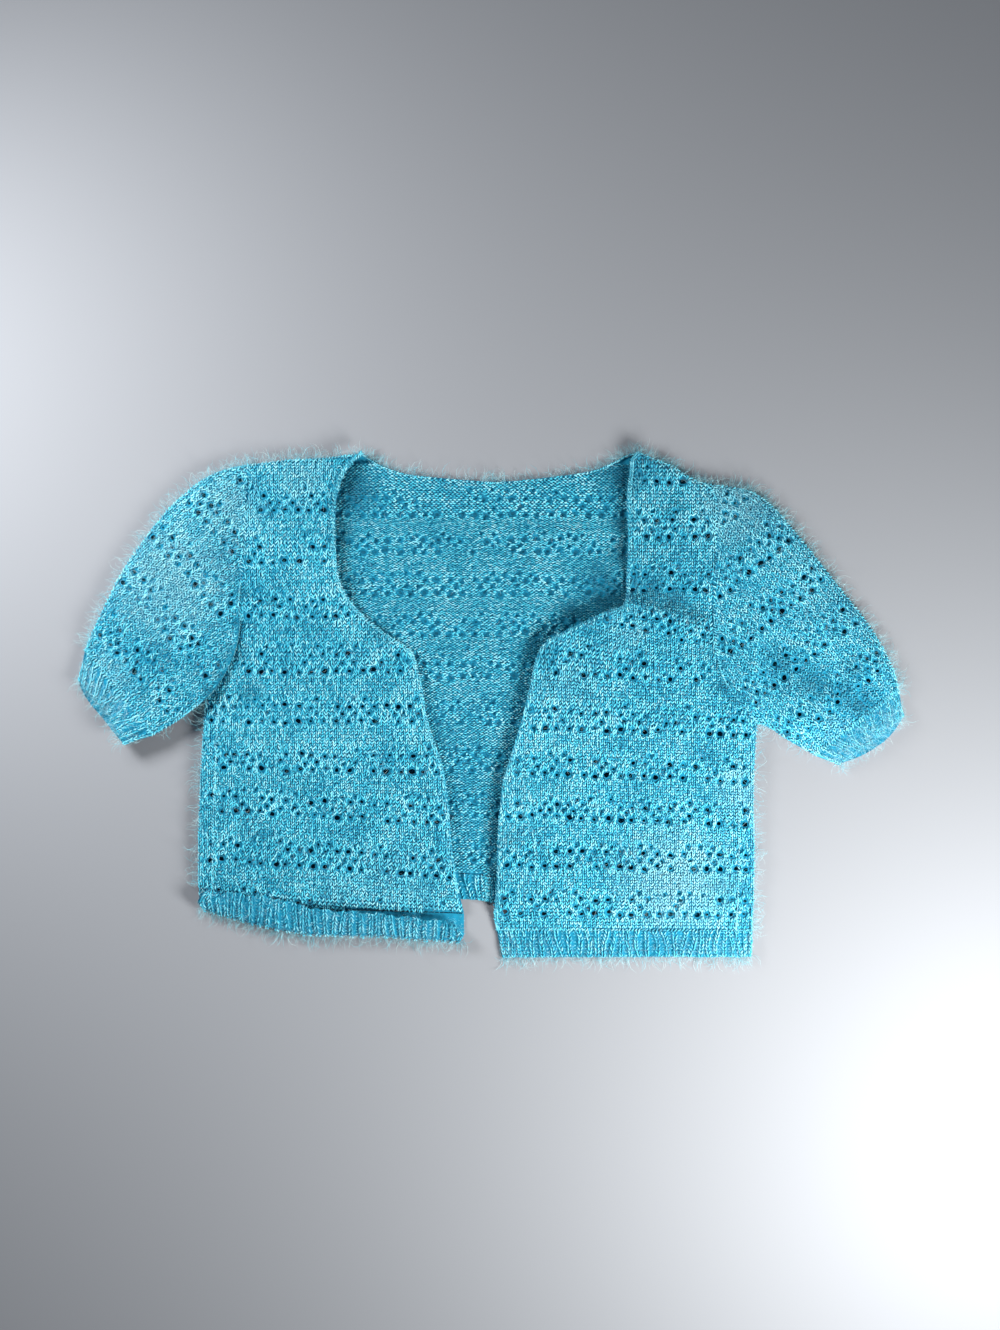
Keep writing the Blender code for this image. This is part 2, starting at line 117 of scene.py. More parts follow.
# The down. A pair is the lowest and highest of a random value, or its mean and spread where it says so.
TRIES = 2.2  # hairs thrown for each one wanted, because some fall outside the panel
THIN_DOWN = 0.35  # where no patch thickens it
FULL_DOWN = 0.85
HAIR_TILT = (0.12, 0.22)  # mean and spread
HAIR_GROWTH = (0.45, 1.25)
HAIR_THICKNESS = (0.7, 1.3)
HAIR_LIFT = (0.6, 2.4)
EDGE_HAIR_SWING = 0.75
EDGE_HAIR_TILT = (0.1, 0.25)  # mean and spread
EDGE_HAIR_GROWTH = (0.25, 1.9)
EDGE_HAIR_THICKNESS = (0.6, 1.2)
EDGE_HAIR_ROOT = (0.5, 3.0)  # how far inside the edge a hair starts
EDGE_HAIR_DROP = 1.2  # how far below the cloth's top it may start
EDGE_PART = 0.004  # share of an edge over which its direction is taken
HALF_HAIR = 4.0
LOWEST_HAIR = 0.5
BAND_HAIR_GROWTH = (0.4, 1.2)
BAND_HAIR_THICKNESS = (0.7, 1.2)
BAND_HAIR_LIFT = (2.0, 3.5)
BAND_LOWEST_HAIR = 0.6

# Eyelet rows of one lace band, from its lowest: height above it, width and height of the hole, its shift as a
# share of the pitch, and the share of the eyelets that the down hasn't closed.
EYELET_ROWS = [
    (0.0, 4.9, 4.3, 0.0, 0.9),
    (6.5, 3.0, 2.7, 0.5, 0.5),
    (13.0, 4.2, 3.7, 0.0, 0.78),
    (19.5, 2.6, 2.3, 0.5, 0.5),
]

# Edges, each a smooth line through its points. Corners lie where two edges meet.
SHOULDER_LEFT = [(-103, 204), (-131, 201), (-164, 199), (-197, 195)]
ARMHOLE_LEFT = [
    (-197, 195), (-200, 151), (-202, 110), (-204.5, 85), (-204, 65), (-208, 43), (-219, 20), (-232, 4),
]
SIDE_LEFT = [(-232, 4), (-235, -45), (-237, -94), (-237.5, -146)]
NECK_LEFT = [
    (-62, 39), (-68, 47), (-87, 60), (-106, 76), (-118, 91), (-124, 108), (-126, 137), (-125, 167), (-117, 190),
    (-103, 204),
]
FRONT_EDGE_LEFT = [
    (-24, -168), (-26, -151), (-31, -121), (-34, -88), (-38, -55), (-45, -32), (-52, -10), (-56, 16), (-62, 39),
]
SHOULDER_RIGHT = [(119, 205.5), (128, 201.5), (138, 198), (149, 193), (164, 184), (174, 180)]
ARMHOLE_RIGHT = [
    (174, 180), (182, 167), (182.5, 130), (181, 84), (182, 56), (186, 30), (194, 13), (216, -15),
]
SIDE_RIGHT = [(216, -15), (213, -77), (214, -118), (213, -160), (212, -183)]
HEM_SEAM_RIGHT = [(212, -183), (110, -183), (4, -183)]
HEM_EDGE_RIGHT = [(9, -205.5), (110, -205), (211.6, -204.5)]
FRONT_EDGE_RIGHT = [
    (4, -183), (2.5, -167), (4.5, -147), (5, -110), (9, -66), (15, -44), (25, -11), (31.5, 16), (36, 37),
]
NECK_RIGHT = [
    (36, 37), (44, 51), (63, 62), (94, 76.5), (108, 83), (110, 108), (111, 134), (110, 167), (112, 187),
    (113.5, 199), (119, 205.5),
]
BACK_NECK = [
    (-103, 204), (-91, 196), (-72, 189), (-52, 186), (-10, 182.5), (11, 182), (52, 186), (83, 191), (100, 198),
    (110, 203.5), (119, 205.5),
]
BACK_HEM = [
    (-237.5, -148), (-150, -153), (-22, -158), (4, -161), (60, -164), (120, -170), (170, -180), (200, -196),
    (212, -203),
]
BACK_RIB_DEPTH = 21.0

# Lowest eyelet row of each lace band: height at the left end, height at the right end, the ends' X.
BANDS_FRONT_LEFT = [
    (198, 198, -200, -100), (158, 158, -200, -120), (116.5, 116.5, -204, -118), (72.5, 72.5, -208, -98),
    (27.7, 27.7, -222, -56), (-13, -13, -236, -48), (-50.5, -54.6, -238, -38), (-84, -96, -238, -32),
    (-124, -139.5, -238, -26),
]
BANDS_FRONT_RIGHT = [
    (181, 181, 112, 180), (136, 136, 109, 184), (93.7, 93.7, 108, 184), (78, 46.5, 60, 186),
    (28.5, 17.9, 32, 192), (-17, -25, 20, 214), (-54.6, -61, 8, 214), (-88.8, -97, 4, 214),
    (-128.8, -133.7, 4, 214), (-169, -170, 2, 214),
]
BANDS_BACK = [
    (154.9, 154.9, -118, 102), (125.5, 125.5, -119, 102), (91.3, 91.3, -110, 100), (57.9, 57.9, -76, 48),
    (22.8, 22.8, -50, 26), (-14.7, -14.7, -44, 16), (-52.2, -52.2, -31, 4), (-89.7, -89.7, -27, 0),
    (-127.1, -127.1, -24, 0),
]

# The left front's hem is turned up. X, then Y of its seam, its free edge and its fold.
ROLL_STATIONS = [
    (-237.5, -157, -152, -166), (-204, -161, -154, -176), (-172, -164, -158, -184), (-140, -166, -166, -188),
    (-87, -167, -170, -189), (-54, -168, -174, -191.5), (-22, -169, -177, -193),
]
ROLL_RADIUS = 2.9
ROLL_SWELL = 2.4  # of the turned-up layer, above the fold's own height
ROLL_SEAM_GAP = 0.9
ROLL_DEPTH = 48.0  # from its seam round the fold to its free edge
ROLL_PLAIN = 0.4  # share of that depth that lies underneath, without ribs
ROLL_END = 0.06  # share of its length over which an end is rounded
ROLL_SINK = 2.0  # how far its free edge sinks towards the left end
END_ROUNDING = 8.0  # how far the corners of its ends draw in

# Ribs.
ROLL_RIBS = 32
HEM_RIBS_RIGHT = 32
HEM_RIBS_BACK = 60
CUFF_RIBS = 12
CUFF_DEPTH = 26.0
HEM_DEPTH_RIGHT = 22.0
RIB_RISE = 1.4

# How high the free edge of each front curls, by Y.
CURL_LEFT = [(-170, 1.0), (30, 1.6), (100, 3.6), (204, 4.6)]
CURL_RIGHT = [(-183, 1.0), (-120, 3.4), (0, 5.0), (78, 6.2), (98, 1.5), (118, 5.2), (207, 4.4)]
CURL_REACH = 22.0

SLEEVE_LEFT = {
    "outer": [
        (-197, 195), (-216, 191), (-237, 181), (-262, 159), (-282, 134), (-302, 104), (-319, 69), (-329, 46),
    ],
    "seam": [(-329, 46), (-301, 10), (-273, -24)],
    "underarm": [(-273, -24), (-255, -13.5), (-243, -5), (-232, 4)],
    "armhole": ARMHOLE_LEFT,
    "cuff_top": [(-335, 20), (-320, 4), (-306, -14), (-297, -31)],
    "cuff_under": [(-335, 16), (-327, 2), (-312, -15), (-297, -31)],
    "toward_cuff": (-0.75, -0.66),
    "bands": (20, 61, 103, 143, 185),
    "steep_below": 92,
    "underarm_lift": 11.5,
    "rib_rise": 1.5,
}
SLEEVE_RIGHT = {
    "outer": [
        (174, 180), (201, 176), (216, 171), (231, 159), (244, 144), (263, 121), (285, 93), (304, 69), (319, 45),
        (328, 25), (331, 12),
    ],
    "seam": [(331, 12), (298, -13), (262, -40)],
    "underarm": [(262, -40), (240, -27.5), (226, -18), (216, -15)],
    "armhole": ARMHOLE_RIGHT,
    "cuff_top": [(335, -9), (318, -23), (301, -35), (283, -48)],
    "cuff_under": [(335, -11), (323, -27), (304, -40), (283, -48)],
    "toward_cuff": (0.62, -0.78),
    "bands": (22, 65, 108, 150, 193),
    "steep_below": 38,
    "underarm_lift": 0.5,
    "rib_rise": 0.5,
}
SLEEVE_PUFF = 8.0
LEAST_PUFF = 0.1
PUFF_REACH = 34.0
ARMHOLE_REACH = 45.0  # from the armhole's seam to the sleeve's full puff
STEEP_REACH = 13.0  # the same where the sleeve stands over the front
STEEP_FADE = 50.0
UNDERARM_REACH = 34.0
UNDERARM_FLATTENS = 0.06  # share of the puff that each millimetre of the underarm's lift takes away
CUFF_REACH = 24.0
CUFF_PUFF = 3.4
CUFF_UNDER = 0.9  # the cloth of a cuff's lower layer
GATHER_RISE = 1.2  # more than the ribs that they run on from
GATHER_LENGTH = 52.0

# Soft folds: from X, Y to X, Y, height (a trough is negative), half width.
FOLDS_FRONT_RIGHT = [
    (104, 101, 142, 88, -6.0, 10),
    (142, 88, 182, 74, -3.5, 9),
    (116, 76, 172, 58, 1.8, 10),
    (60, 62, 120, 74, 1.4, 9),
    (22, -20, 36, 26, 1.2, 8),
    (10, -150, 18, -60, 1.0, 8),
    (120, 140, 132, 192, 1.0, 9),
    (60, -60, 190, -74, 0.9, 13),
    (40, -120, 150, -104, -0.9, 12),
]
FOLDS_FRONT_LEFT = [
    (-226, -4, -200, 66, -2.8, 15),
    (-118, 112, -116, 188, 1.2, 8),
    (-96, 52, -62, 8, 1.0, 8),
    (-48, -50, -36, -140, 0.9, 7),
    (-205, -112, -80, -128, -1.0, 12),
    (-190, 40, -110, 24, 0.8, 12),
]
FOLDS_SLEEVE_LEFT = [
    (-306, 66, -256, 22, 1.8, 11),
    (-292, 104, -228, 58, -1.8, 11),
    (-244, 152, -212, 108, 1.2, 13),
    (-318, 40, -296, 12, -1.6, 7),
]
FOLDS_SLEEVE_RIGHT = [
    (286, 7, 306, -3, -3.0, 11),
    (236, 30, 268, 14, -2.5, 11),
    (246, -8, 296, -26, 2.4, 10),
    (214, 16, 232, 20, -1.6, 7),
    (220, 120, 262, 60, 1.4, 13),
    (306, 52, 316, 22, 1.6, 9),
    (232, -8, 262, -20, 1.6, 7),
]

# Patches where pale down lies thick over the stitches, in part a painted glare where the light falls brightest,
# on the right front's lower part: X, Y, radius, strength.
PALE_DOWN_AND_GLARE = [
    (-262, 105, 70, 0.75), (-215, 160, 45, 0.55), (196, 160, 45, 0.7), (150, -145, 66, 0.95),
    (205, -70, 34, 0.55), (-150, 185, 40, 0.35), (290, -25, 40, 0.4), (-315, 20, 35, 0.5),
    (60, 20, 40, 0.2), (-90, -170, 90, 0.2), (110, 60, 26, 0.3),
]
# Painted shade: patches in hollows and creases, under raised edges and in the gap above the turned-up hem,
# where the yarn's colour is darkened for the shade that falls there: X, Y, radius, strength.
PAINTED_SHADE_PATCHES = [
    (238, 34, 26, 0.6), (262, 18, 24, 0.75), (284, 8, 20, 0.85), (300, 0, 22, 1.0), (294, 30, 15, 0.5),
    (112, 99, 22, 0.85), (130, 95, 22, 0.9), (148, 86, 20, 0.9), (164, 76, 18, 0.5), (150, 160, 18, 0.4),
    (189, 16, 11, 0.9), (182, 50, 18, 0.4), (-112, 172, 34, 1.0), (-120, 138, 20, 0.6), (-114, 100, 18, 0.5),
    (-203, 92, 9, 0.7), (-205, 66, 9, 0.8), (-208, 44, 10, 0.9), (-217, 24, 10, 1.0), (-226, 10, 11, 1.0),
    (186, 32, 8, 0.7), (199, 5, 9, 0.8), (-34, -173, 11, 1.0), (-52, -172, 10, 1.0), (-70, -170, 9, 1.0),
    (-88, -168.5, 8, 1.0), (-106, -168, 7, 1.0), (-124, -167, 6, 0.9), (-140, -166, 6, 0.8),
    (-88, 62, 20, 0.4), (104, 188, 30, 1.0), (106, 150, 18, 0.8), (104, 122, 18, 0.8), (92, 96, 32, 1.0),
    (66, 76, 24, 0.7), (40, 44, 24, 0.5), (-208, 40, 18, 0.7), (-196, 8, 18, 0.5), (10, -110, 22, 0.4),
]

# Painted shade: the colour of the back's closed eyelets, for the shaded floor under them.
AQUA_EYELET_SHADE = "04546e"  # in an eyelet that shows the layer below
AQUA_DEEP = "066485"
AQUA_SHADE = "0c8db4"
AQUA_WRONG = "46cbe8"  # of the loops' backs
AQUA = "4ccfec"
AQUA_LIGHT = "a8f0ff"
DOWN_PALE = "cdeef6"
# Painted glare, where the light falls brightest, takes this pale colour too.
DOWN_AND_GLARE_GREY = "a6d9e4"  # of stitches under thick down
FLOOR_GREY = "868c96"
SKY = "e3e9f2"
SKY_STRENGTH = 0.16

# The picture is 1000 by 1330 pixels, and the camera looks straight down.
PICTURE = (1000, 1330)
PIXEL = 0.815  # what a pixel covers, in millimetres
MIDDLE_PIXEL = (491, 705)  # over the garment's middle
CAMERA_HEIGHT = 1.6  # metres
SENSOR = 36.0
FLOOR_HALF = 3.0  # metres
FLOOR_LEVEL = -0.0003  # metres, just clear of the cloth that rests on it

# Soft lamps turned to the garment's middle: name, place and size in metres, power in watts, colour.
LAMPS = [
    ("window", (0.53, -0.43, 0.47), 0.34, 13.8, "fff9ef"),
    ("lamp", (-0.60, 0.33, 0.43), 0.26, 7.5, "fffaf3"),
]


def linear(code):
    """A six-figure sRGB colour as linear red, green, blue and alpha."""
    shares = [int(code[i : i + 2], 16) / 255 for i in (0, 2, 4)]
    return (*(c / 12.92 if c <= 0.04045 else ((c + 0.055) / 1.055) ** 2.4 for c in shares), 1.0)


def add(tree, kind, inputs=(), **settings):
    """Adds a node with its settings, and links or sets each input that is given."""
    node = tree.nodes.new(kind)
    for name, value in settings.items():
        setattr(node, name, value)
    for key, value in dict(inputs).items():
        if isinstance(value, bpy.types.NodeSocket):
            tree.links.new(value, node.inputs[key])
        else:
            node.inputs[key].default_value = value
    return node


def smooth_step(value):
    value = np.clip(value, 0.0, 1.0)
    return value * value * (3 - 2 * value)


def on_curve(points, t):
    """Points at the shares t of a smooth curve through the points, by Catmull and Rom's rule."""
    points = np.asarray(points, float)
    place = np.clip(np.asarray(t, float), 0.0, 1.0) * (len(points) - 1)
    index = np.minimum(place.astype(int), len(points) - 2)
    f = (place - index)[..., None]
    before = points[np.maximum(index - 1, 0)]
    start = points[index]
    end = points[index + 1]
    after = points[np.minimum(index + 2, len(points) - 1)]
    return 0.5 * (
        2 * start
        + (end - before) * f
        + (2 * before - 5 * start + 4 * end - after) * f**2
        + (3 * start - before - 3 * end + after) * f**3
    )


def curve_length(points):
    points = np.asarray(points, float)
    return float(np.linalg.norm(np.diff(points, axis=0), axis=1).sum())


def along(points, step):
    """Points about a step apart on the smooth curve, without the last."""
    count = max(2, round(curve_length(points) / step))
    return on_curve(points, np.arange(count) / count)


def outline_of(*edges):
    """A closed outline from edges that follow each other, anticlockwise."""
    points = np.concatenate([along(edge, OUTLINE_STEP) for edge in edges])
    after = np.roll(points, -1, axis=0)
    area = (points[:, 0] * after[:, 1] - after[:, 0] * points[:, 1]).sum()
    return points[::-1] if area < 0 else points


def clearance(loop, points):
    """Distance from each point to the closed loop, negative outside it."""
    a = loop
    b = np.roll(loop, -1, axis=0)
    side = b - a
    square = (side * side).sum(1)
    rise = np.where(side[:, 1] == 0, 1e-9, side[:, 1])
    result = np.empty(len(points))
    block = 4000
    for first in range(0, len(points), block):
        p = points[first : first + block, None, :]
        share = np.clip(((p - a) * side).sum(-1) / square, 0, 1)
        near = np.linalg.norm(p - a - share[..., None] * side, axis=-1).min(1)
        crosses = (a[:, 1] > p[..., 1]) != (b[:, 1] > p[..., 1])
        before = p[..., 0] < a[:, 0] + side[:, 0] * (p[..., 1] - a[:, 1]) / rise
        inside = (crosses & before).sum(1) % 2 == 1
        result[first : first + block] = np.where(inside, near, -near)
    return result


def ripple(points, seed):
    """A gentle unevenness of the cloth, between about -1 and 1."""
    rng = np.random.default_rng(seed)
    total = np.zeros(len(points))
    for wave in (38.0, 55.0, 81.0, 120.0):
        angle = rng.uniform(0, 2 * math.pi)
        phase = rng.uniform(0, 2 * math.pi)
        way = points[:, 0] * math.cos(angle) + points[:, 1] * math.sin(angle)
        total += np.sin(way * 2 * math.pi / wave + phase) / 3
    return total


def folded(points, folds):
    """Height that the soft folds add at each point."""
    total = np.zeros(len(points))
    for x0, y0, x1, y1, height, half in folds:
        start = np.array((x0, y0))
        way = np.array((x1, y1)) - start
        length = np.linalg.norm(way)
        way = way / length
        offset = points - start
        place = offset @ way
        off = np.abs(offset @ np.array((-way[1], way[0])))
        ends = smooth_step((place + half) / (2 * half)) * smooth_step((length + half - place) / (2 * half))
        total += height * ends * smooth_step(1 - off / (1.6 * half))
    return total


def strongest(points, patches):
    """The strongest of the soft round patches at each point."""
    total = np.zeros(len(points))
    for x, y, radius, strength in patches:
        away = np.hypot(points[:, 0] - x, points[:, 1] - y)
        total = np.maximum(total, strength * smooth_step(1 - away / radius))
    return total


def down_and_painted_light_at(points):
    """Pale down and painted glare over the stitches, up to 1, or below 0 where painted shade darkens them."""
    return strongest(points, PALE_DOWN_AND_GLARE) - strongest(points, PAINTED_SHADE_PATCHES)


def hem_line(x):
    """Y of the back's hem at this X."""
    table = np.array(BACK_HEM)
    return np.interp(x, table[:, 0], table[:, 1])


def on_back(points):
    """Underside of a front: on the back, and on the surface past the back's hem."""
    past = smooth_step((points[:, 1] - hem_line(points[:, 0]) + DROP_END) / (DROP_END - DROP_START))
    near_side = smooth_step((points[:, 0] - LEVEL_FROM_X) / LEVEL_WIDTH)
    return LAYER * np.maximum(past, near_side)


def on_surface(points, *places):
    """Underside of what lies flat on the surface."""
    return np.zeros(len(points))


def nearest_on(line, points):
    """Distance from each point to the nearest of the line's points."""
    return np.sqrt(((points[:, None, :] - line[None]) ** 2).sum(2).min(1))


def rounded(share):
    """Rises like a quarter of a circle, from 0 at an edge to 1."""
    return np.sqrt(1 - (1 - np.clip(share, 0, 1)) ** 2)


class Panel:
    """One flat-laid piece: its outline, its eyelets and the height of its underside."""

    def __init__(self, name, loop, free, height, origin=(0.0, 0.0), up=(0.0, 1.0)):
        self.name = name
        self.loop = loop
        self.free = np.concatenate([along(edge, OUTLINE_STEP / 2) for edge in free])
        self.height = height
        self.origin = np.array(origin, float)
        self.up = np.array(up, float) / np.linalg.norm(up)
        self.across = np.array((self.up[1], -self.up[0]))
        self.eyelets = np.zeros((0, 4))

    def flat(self, u, v):
        return self.origin + np.outer(u, self.across) + np.outer(v, self.up)

    def local(self, points):
        offset = points - self.origin
        return offset @ self.across, offset @ self.up

    def top(self, points):
        return self.height(points, nearest_on(self.free, points)) + SHELL

    def placed(self, points, lift):
        return np.column_stack([points, self.top(points) + lift])

    def normals(self, points):
        east = self.top(points + (SLOPE_STEP, 0)) - self.top(points - (SLOPE_STEP, 0))
        north = self.top(points + (0, SLOPE_STEP)) - self.top(points - (0, SLOPE_STEP))
        normal = np.column_stack([-east, -north, np.full(len(points), 2 * SLOPE_STEP)])
        return normal / np.linalg.norm(normal, axis=1)[:, None]


def band_lines(bands, u):
    """Height of each band's lowest row at the places u, top band first, with a band more at each end."""
    lines = []
    for left, right, u_left, u_right in bands:
        share = (u - u_left) / (u_right - u_left)
        lines.append(left + (right - left) * np.clip(share, -0.1, 1.1))
    lines.insert(0, lines[0] + REPEAT)
    lines.append(lines[-1] - REPEAT)
    return np.array(lines)


def add_eyelets(panel, bands, rng, size=1.0):
    """Eyelets of every band: four rows, each second row moved by half a pitch."""
    found = []
    u_all, _ = panel.local(panel.loop)
    places = np.arange(u_all.min(), u_all.max(), EYELET_PITCH)
    for k in range(1, len(bands) + 2):
        for rise, wide, high, shift, open_share in EYELET_ROWS:
            shown_places = places[rng.uniform(0, 1, len(places)) < open_share]
            u = shown_places + shift * EYELET_PITCH + rng.normal(0, EYELET_STRAY[0], len(shown_places))
            lines = band_lines(bands, u)
            scale = (lines[k - 1] - lines[k]) / REPEAT
            v = lines[k] + rise * scale + rng.normal(0, EYELET_STRAY[1], len(u))
            grow = rng.uniform(*EYELET_GROWTH, len(u))
            found.append(np.column_stack([u, v, size * wide * grow / 2, size * high * grow / 2]))
    found = np.concatenate(found)
    inside = clearance(panel.loop, panel.flat(found[:, 0], found[:, 1])) > EYELET_MARGIN
    panel.eyelets = found[inside]


def hole_loops(panel, rng):
    """Each eyelet as a closed loop of points, pulled out of round."""
    loops = []
    for u, v, half_wide, half_high in panel.eyelets:
        corners = 7 if half_wide > LARGE_EYELET else 5
        turn = np.arange(corners) * 2 * math.pi / corners + rng.uniform(0, 1)
        reach = rng.uniform(*EYELET_RAGGED, corners)
        loops.append(panel.flat(u + reach * half_wide * np.cos(turn), v + reach * half_high * np.sin(turn)))
    return loops


def wall_mesh(name, low, high, faces, painted_shade=()):
    """A closed wall between a lower and an upper copy of the same faces. The faces numbered in the last
    argument, in eyelets, take the second material, a painted shade.
    """
    count = len(low)
    solid = [tuple(i + count for i in face) for face in faces]
    solid += [tuple(reversed(face)) for face in faces]
    used = {(face[i - 1], face[i]) for face in faces for i in range(len(face))}
    solid += [(a, b, b + count, a + count) for a, b in used if (b, a) not in used]
    mesh = bpy.data.meshes.new(name)
    mesh.from_pydata(np.concatenate([low, high]) * MM, [], solid)
    for number in painted_shade:
        mesh.polygons[number].material_index = 1
    mesh.shade_smooth()
    mesh.set_sharp_from_angle(angle=math.radians(50))
    return mesh


def plain_material(name):
    """A material with its shader, ready for its nodes and values."""
    material = bpy.data.materials.new(name)
    material.use_nodes = True
    return material, material.node_tree, material.node_tree.nodes["Principled BSDF"]


def shown(name, mesh, slot, *materials):
    """Puts a finished mesh in the scene as a piece of the garment."""
    obj = bpy.data.objects.new(name, mesh)
    for each in materials:
        mesh.materials.append(each)
    bpy.context.scene.collection.objects.link(obj)
    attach(obj, "root")
    return obj


def panel_mesh(panel, holes, closed=False):
    """The panel's thin cloth, with its eyelets cut through, or closed as if by down and coloured with painted
    shade, for the shade under them.
    """
    points = [tuple(p) for p in panel.loop]
    hole_of = [0] * len(points)
    edges = [(i, (i + 1) % len(points)) for i in range(len(points))]
    for number, loop in enumerate(holes, 1):
        first = len(points)
        points += [tuple(p) for p in loop]
        hole_of += [number] * len(loop)
        edges += [(first + i, first + (i + 1) % len(loop)) for i in range(len(loop))]
    low, high = panel.loop.min(0), panel.loop.max(0)
    xs, ys = np.meshgrid(
        np.arange(low[0], high[0], SURFACE_STEP), np.arange(low[1], high[1], SURFACE_STEP)
    )
    grid = np.column_stack([xs.ravel(), ys.ravel()])
    grid = grid[clearance(panel.loop, grid) > SUPPORT_MARGIN]
    if len(panel.eyelets):
        u, v = panel.local(grid)
        away = np.hypot(u[:, None] - panel.eyelets[:, 0], v[:, None] - panel.eyelets[:, 1]).min(1)
        grid = grid[away > EYELET_CLEARANCE]
    points += [tuple(p) for p in grid]
    hole_of += [0] * len(grid)
    flat, _, triangles, origins, _, _ = delaunay_2d_cdt(points, edges, [], 1, 1e-5)
    numbers = [hole_of[found[0]] if found else 0 for found in origins]
    faces = []
    painted_shade = []
    for triangle in triangles:
        kinds = {numbers[i] for i in triangle}
        in_eyelet = len(kinds) == 1 and kinds != {0}
        if in_eyelet and closed:
            painted_shade.append(len(faces))
        if closed or not in_eyelet:
            faces.append(tuple(triangle))
    flat = np.array([(p.x, p.y) for p in flat])
    top = panel.top(flat)
    return wall_mesh(
        panel.name, np.column_stack([flat, top - SHELL]), np.column_stack([flat, top]), faces, painted_shade
    )


def joined(name, *meshes):
    """One mesh of several, such as the two layers of a flat-laid tube."""
    shape = bmesh.new()
    for mesh in meshes:
        shape.from_mesh(mesh)
    result = bpy.data.meshes.new(name)
    shape.to_mesh(result)
    shape.free()
    return result


def turns(way, normal):
    """Euler angles that lay a strand's length along way and its back along normal."""
    y = way / np.linalg.norm(way, axis=1)[:, None]
    z = normal - (normal * y).sum(1)[:, None] * y
    z = z / np.linalg.norm(z, axis=1)[:, None]
    x = np.cross(y, z)
    return np.column_stack(
        [np.arctan2(y[:, 2], z[:, 2]), -np.arcsin(np.clip(x[:, 2], -1, 1)), np.arctan2(x[:, 1], x[:, 0])]
    )


def strand_tree():
    """A tree that puts one small bent strand, tapered at both ends, on each point."""
    tree = bpy.data.node_groups.new("knitted_strands", "GeometryNodeTree")
    inputs = {
        "Points": "Geometry",
        "Length": "Float",
        "Thickness": "Float",
        "Arch": "Float",
        "Sides": "Int",
        "Segments": "Int",
        "Seed": "Int",
        "Material": "Material",
    }
    for name, kind in inputs.items():
        tree.interface.new_socket(name, in_out="INPUT", socket_type="NodeSocket" + kind)
    tree.interface.new_socket("Strands", in_out="OUTPUT", socket_type="NodeSocketGeometry")
    given = add(tree, "NodeGroupInput").outputs
    half = add(tree, "ShaderNodeMath", {0: given["Length"], 1: 0.5}, operation="MULTIPLY").outputs[0]
    back = add(tree, "ShaderNodeMath", {0: given["Length"], 1: -0.5}, operation="MULTIPLY").outputs[0]
    crown = add(tree, "ShaderNodeMath", {0: given["Arch"], 1: 2.0}, operation="MULTIPLY").outputs[0]
    start = add(tree, "ShaderNodeCombineXYZ", {"Y": back}).outputs[0]
    middle = add(tree, "ShaderNodeCombineXYZ", {"Z": crown}).outputs[0]
    end = add(tree, "ShaderNodeCombineXYZ", {"Y": half}).outputs[0]
    arc = add(
        tree,
        "GeometryNodeCurveQuadraticBezier",
        {"Resolution": given["Segments"], "Start": start, "Middle": middle, "End": end},
    )
    place = add(tree, "GeometryNodeSplineParameter").outputs["Factor"]
    angle = add(tree, "ShaderNodeMath", {0: place, 1: math.pi}, operation="MULTIPLY").outputs[0]
    taper = add(tree, "ShaderNodeMath", {0: angle}, operation="SINE").outputs[0]
    ring = add(
        tree, "GeometryNodeCurvePrimitiveCircle", {"Resolution": given["Sides"], "Radius": given["Thickness"]}
    )
    strand = add(
        tree,
        "GeometryNodeCurveToMesh",
        {"Curve": arc.outputs[0], "Profile Curve": ring.outputs[0], "Scale": taper, "Fill Caps": False},
    )
    closed = add(tree, "GeometryNodeMergeByDistance", {"Geometry": strand.outputs[0], "Distance": 1e-6})
    smooth = add(tree, "GeometryNodeSetShadeSmooth", {"Geometry": closed.outputs[0]})
    turn = add(tree, "GeometryNodeInputNamedAttribute", {"Name": "turn"}, data_type="FLOAT_VECTOR")
    size = add(tree, "GeometryNodeInputNamedAttribute", {"Name": "size"}, data_type="FLOAT_VECTOR")
    rotation = add(tree, "FunctionNodeEulerToRotation", {"Euler": turn.outputs["Attribute"]})
    placed = add(
        tree,
        "GeometryNodeInstanceOnPoints",
        {
            "Points": given["Points"],
            "Instance": smooth.outputs[0],
            "Rotation": rotation.outputs[0],
            "Scale": size.outputs["Attribute"],
        },
    )
    chance = add(tree, "FunctionNodeRandomValue", {"Seed": given["Seed"]}, data_type="FLOAT")
    toned = add(
        tree,
        "GeometryNodeStoreNamedAttribute",
        {"Geometry": placed.outputs[0], "Name": "tone", "Value": chance.outputs[1]},
        data_type="FLOAT",
        domain="INSTANCE",
    )
    real = add(tree, "GeometryNodeRealizeInstances", {"Geometry": toned.outputs[0]})
    dyed = add(
        tree, "GeometryNodeSetMaterial", {"Geometry": real.outputs[0], "Material": given["Material"]}
    )
    out = add(tree, "NodeGroupOutput")
    tree.links.new(dyed.outputs[0], out.inputs[0])
    return tree


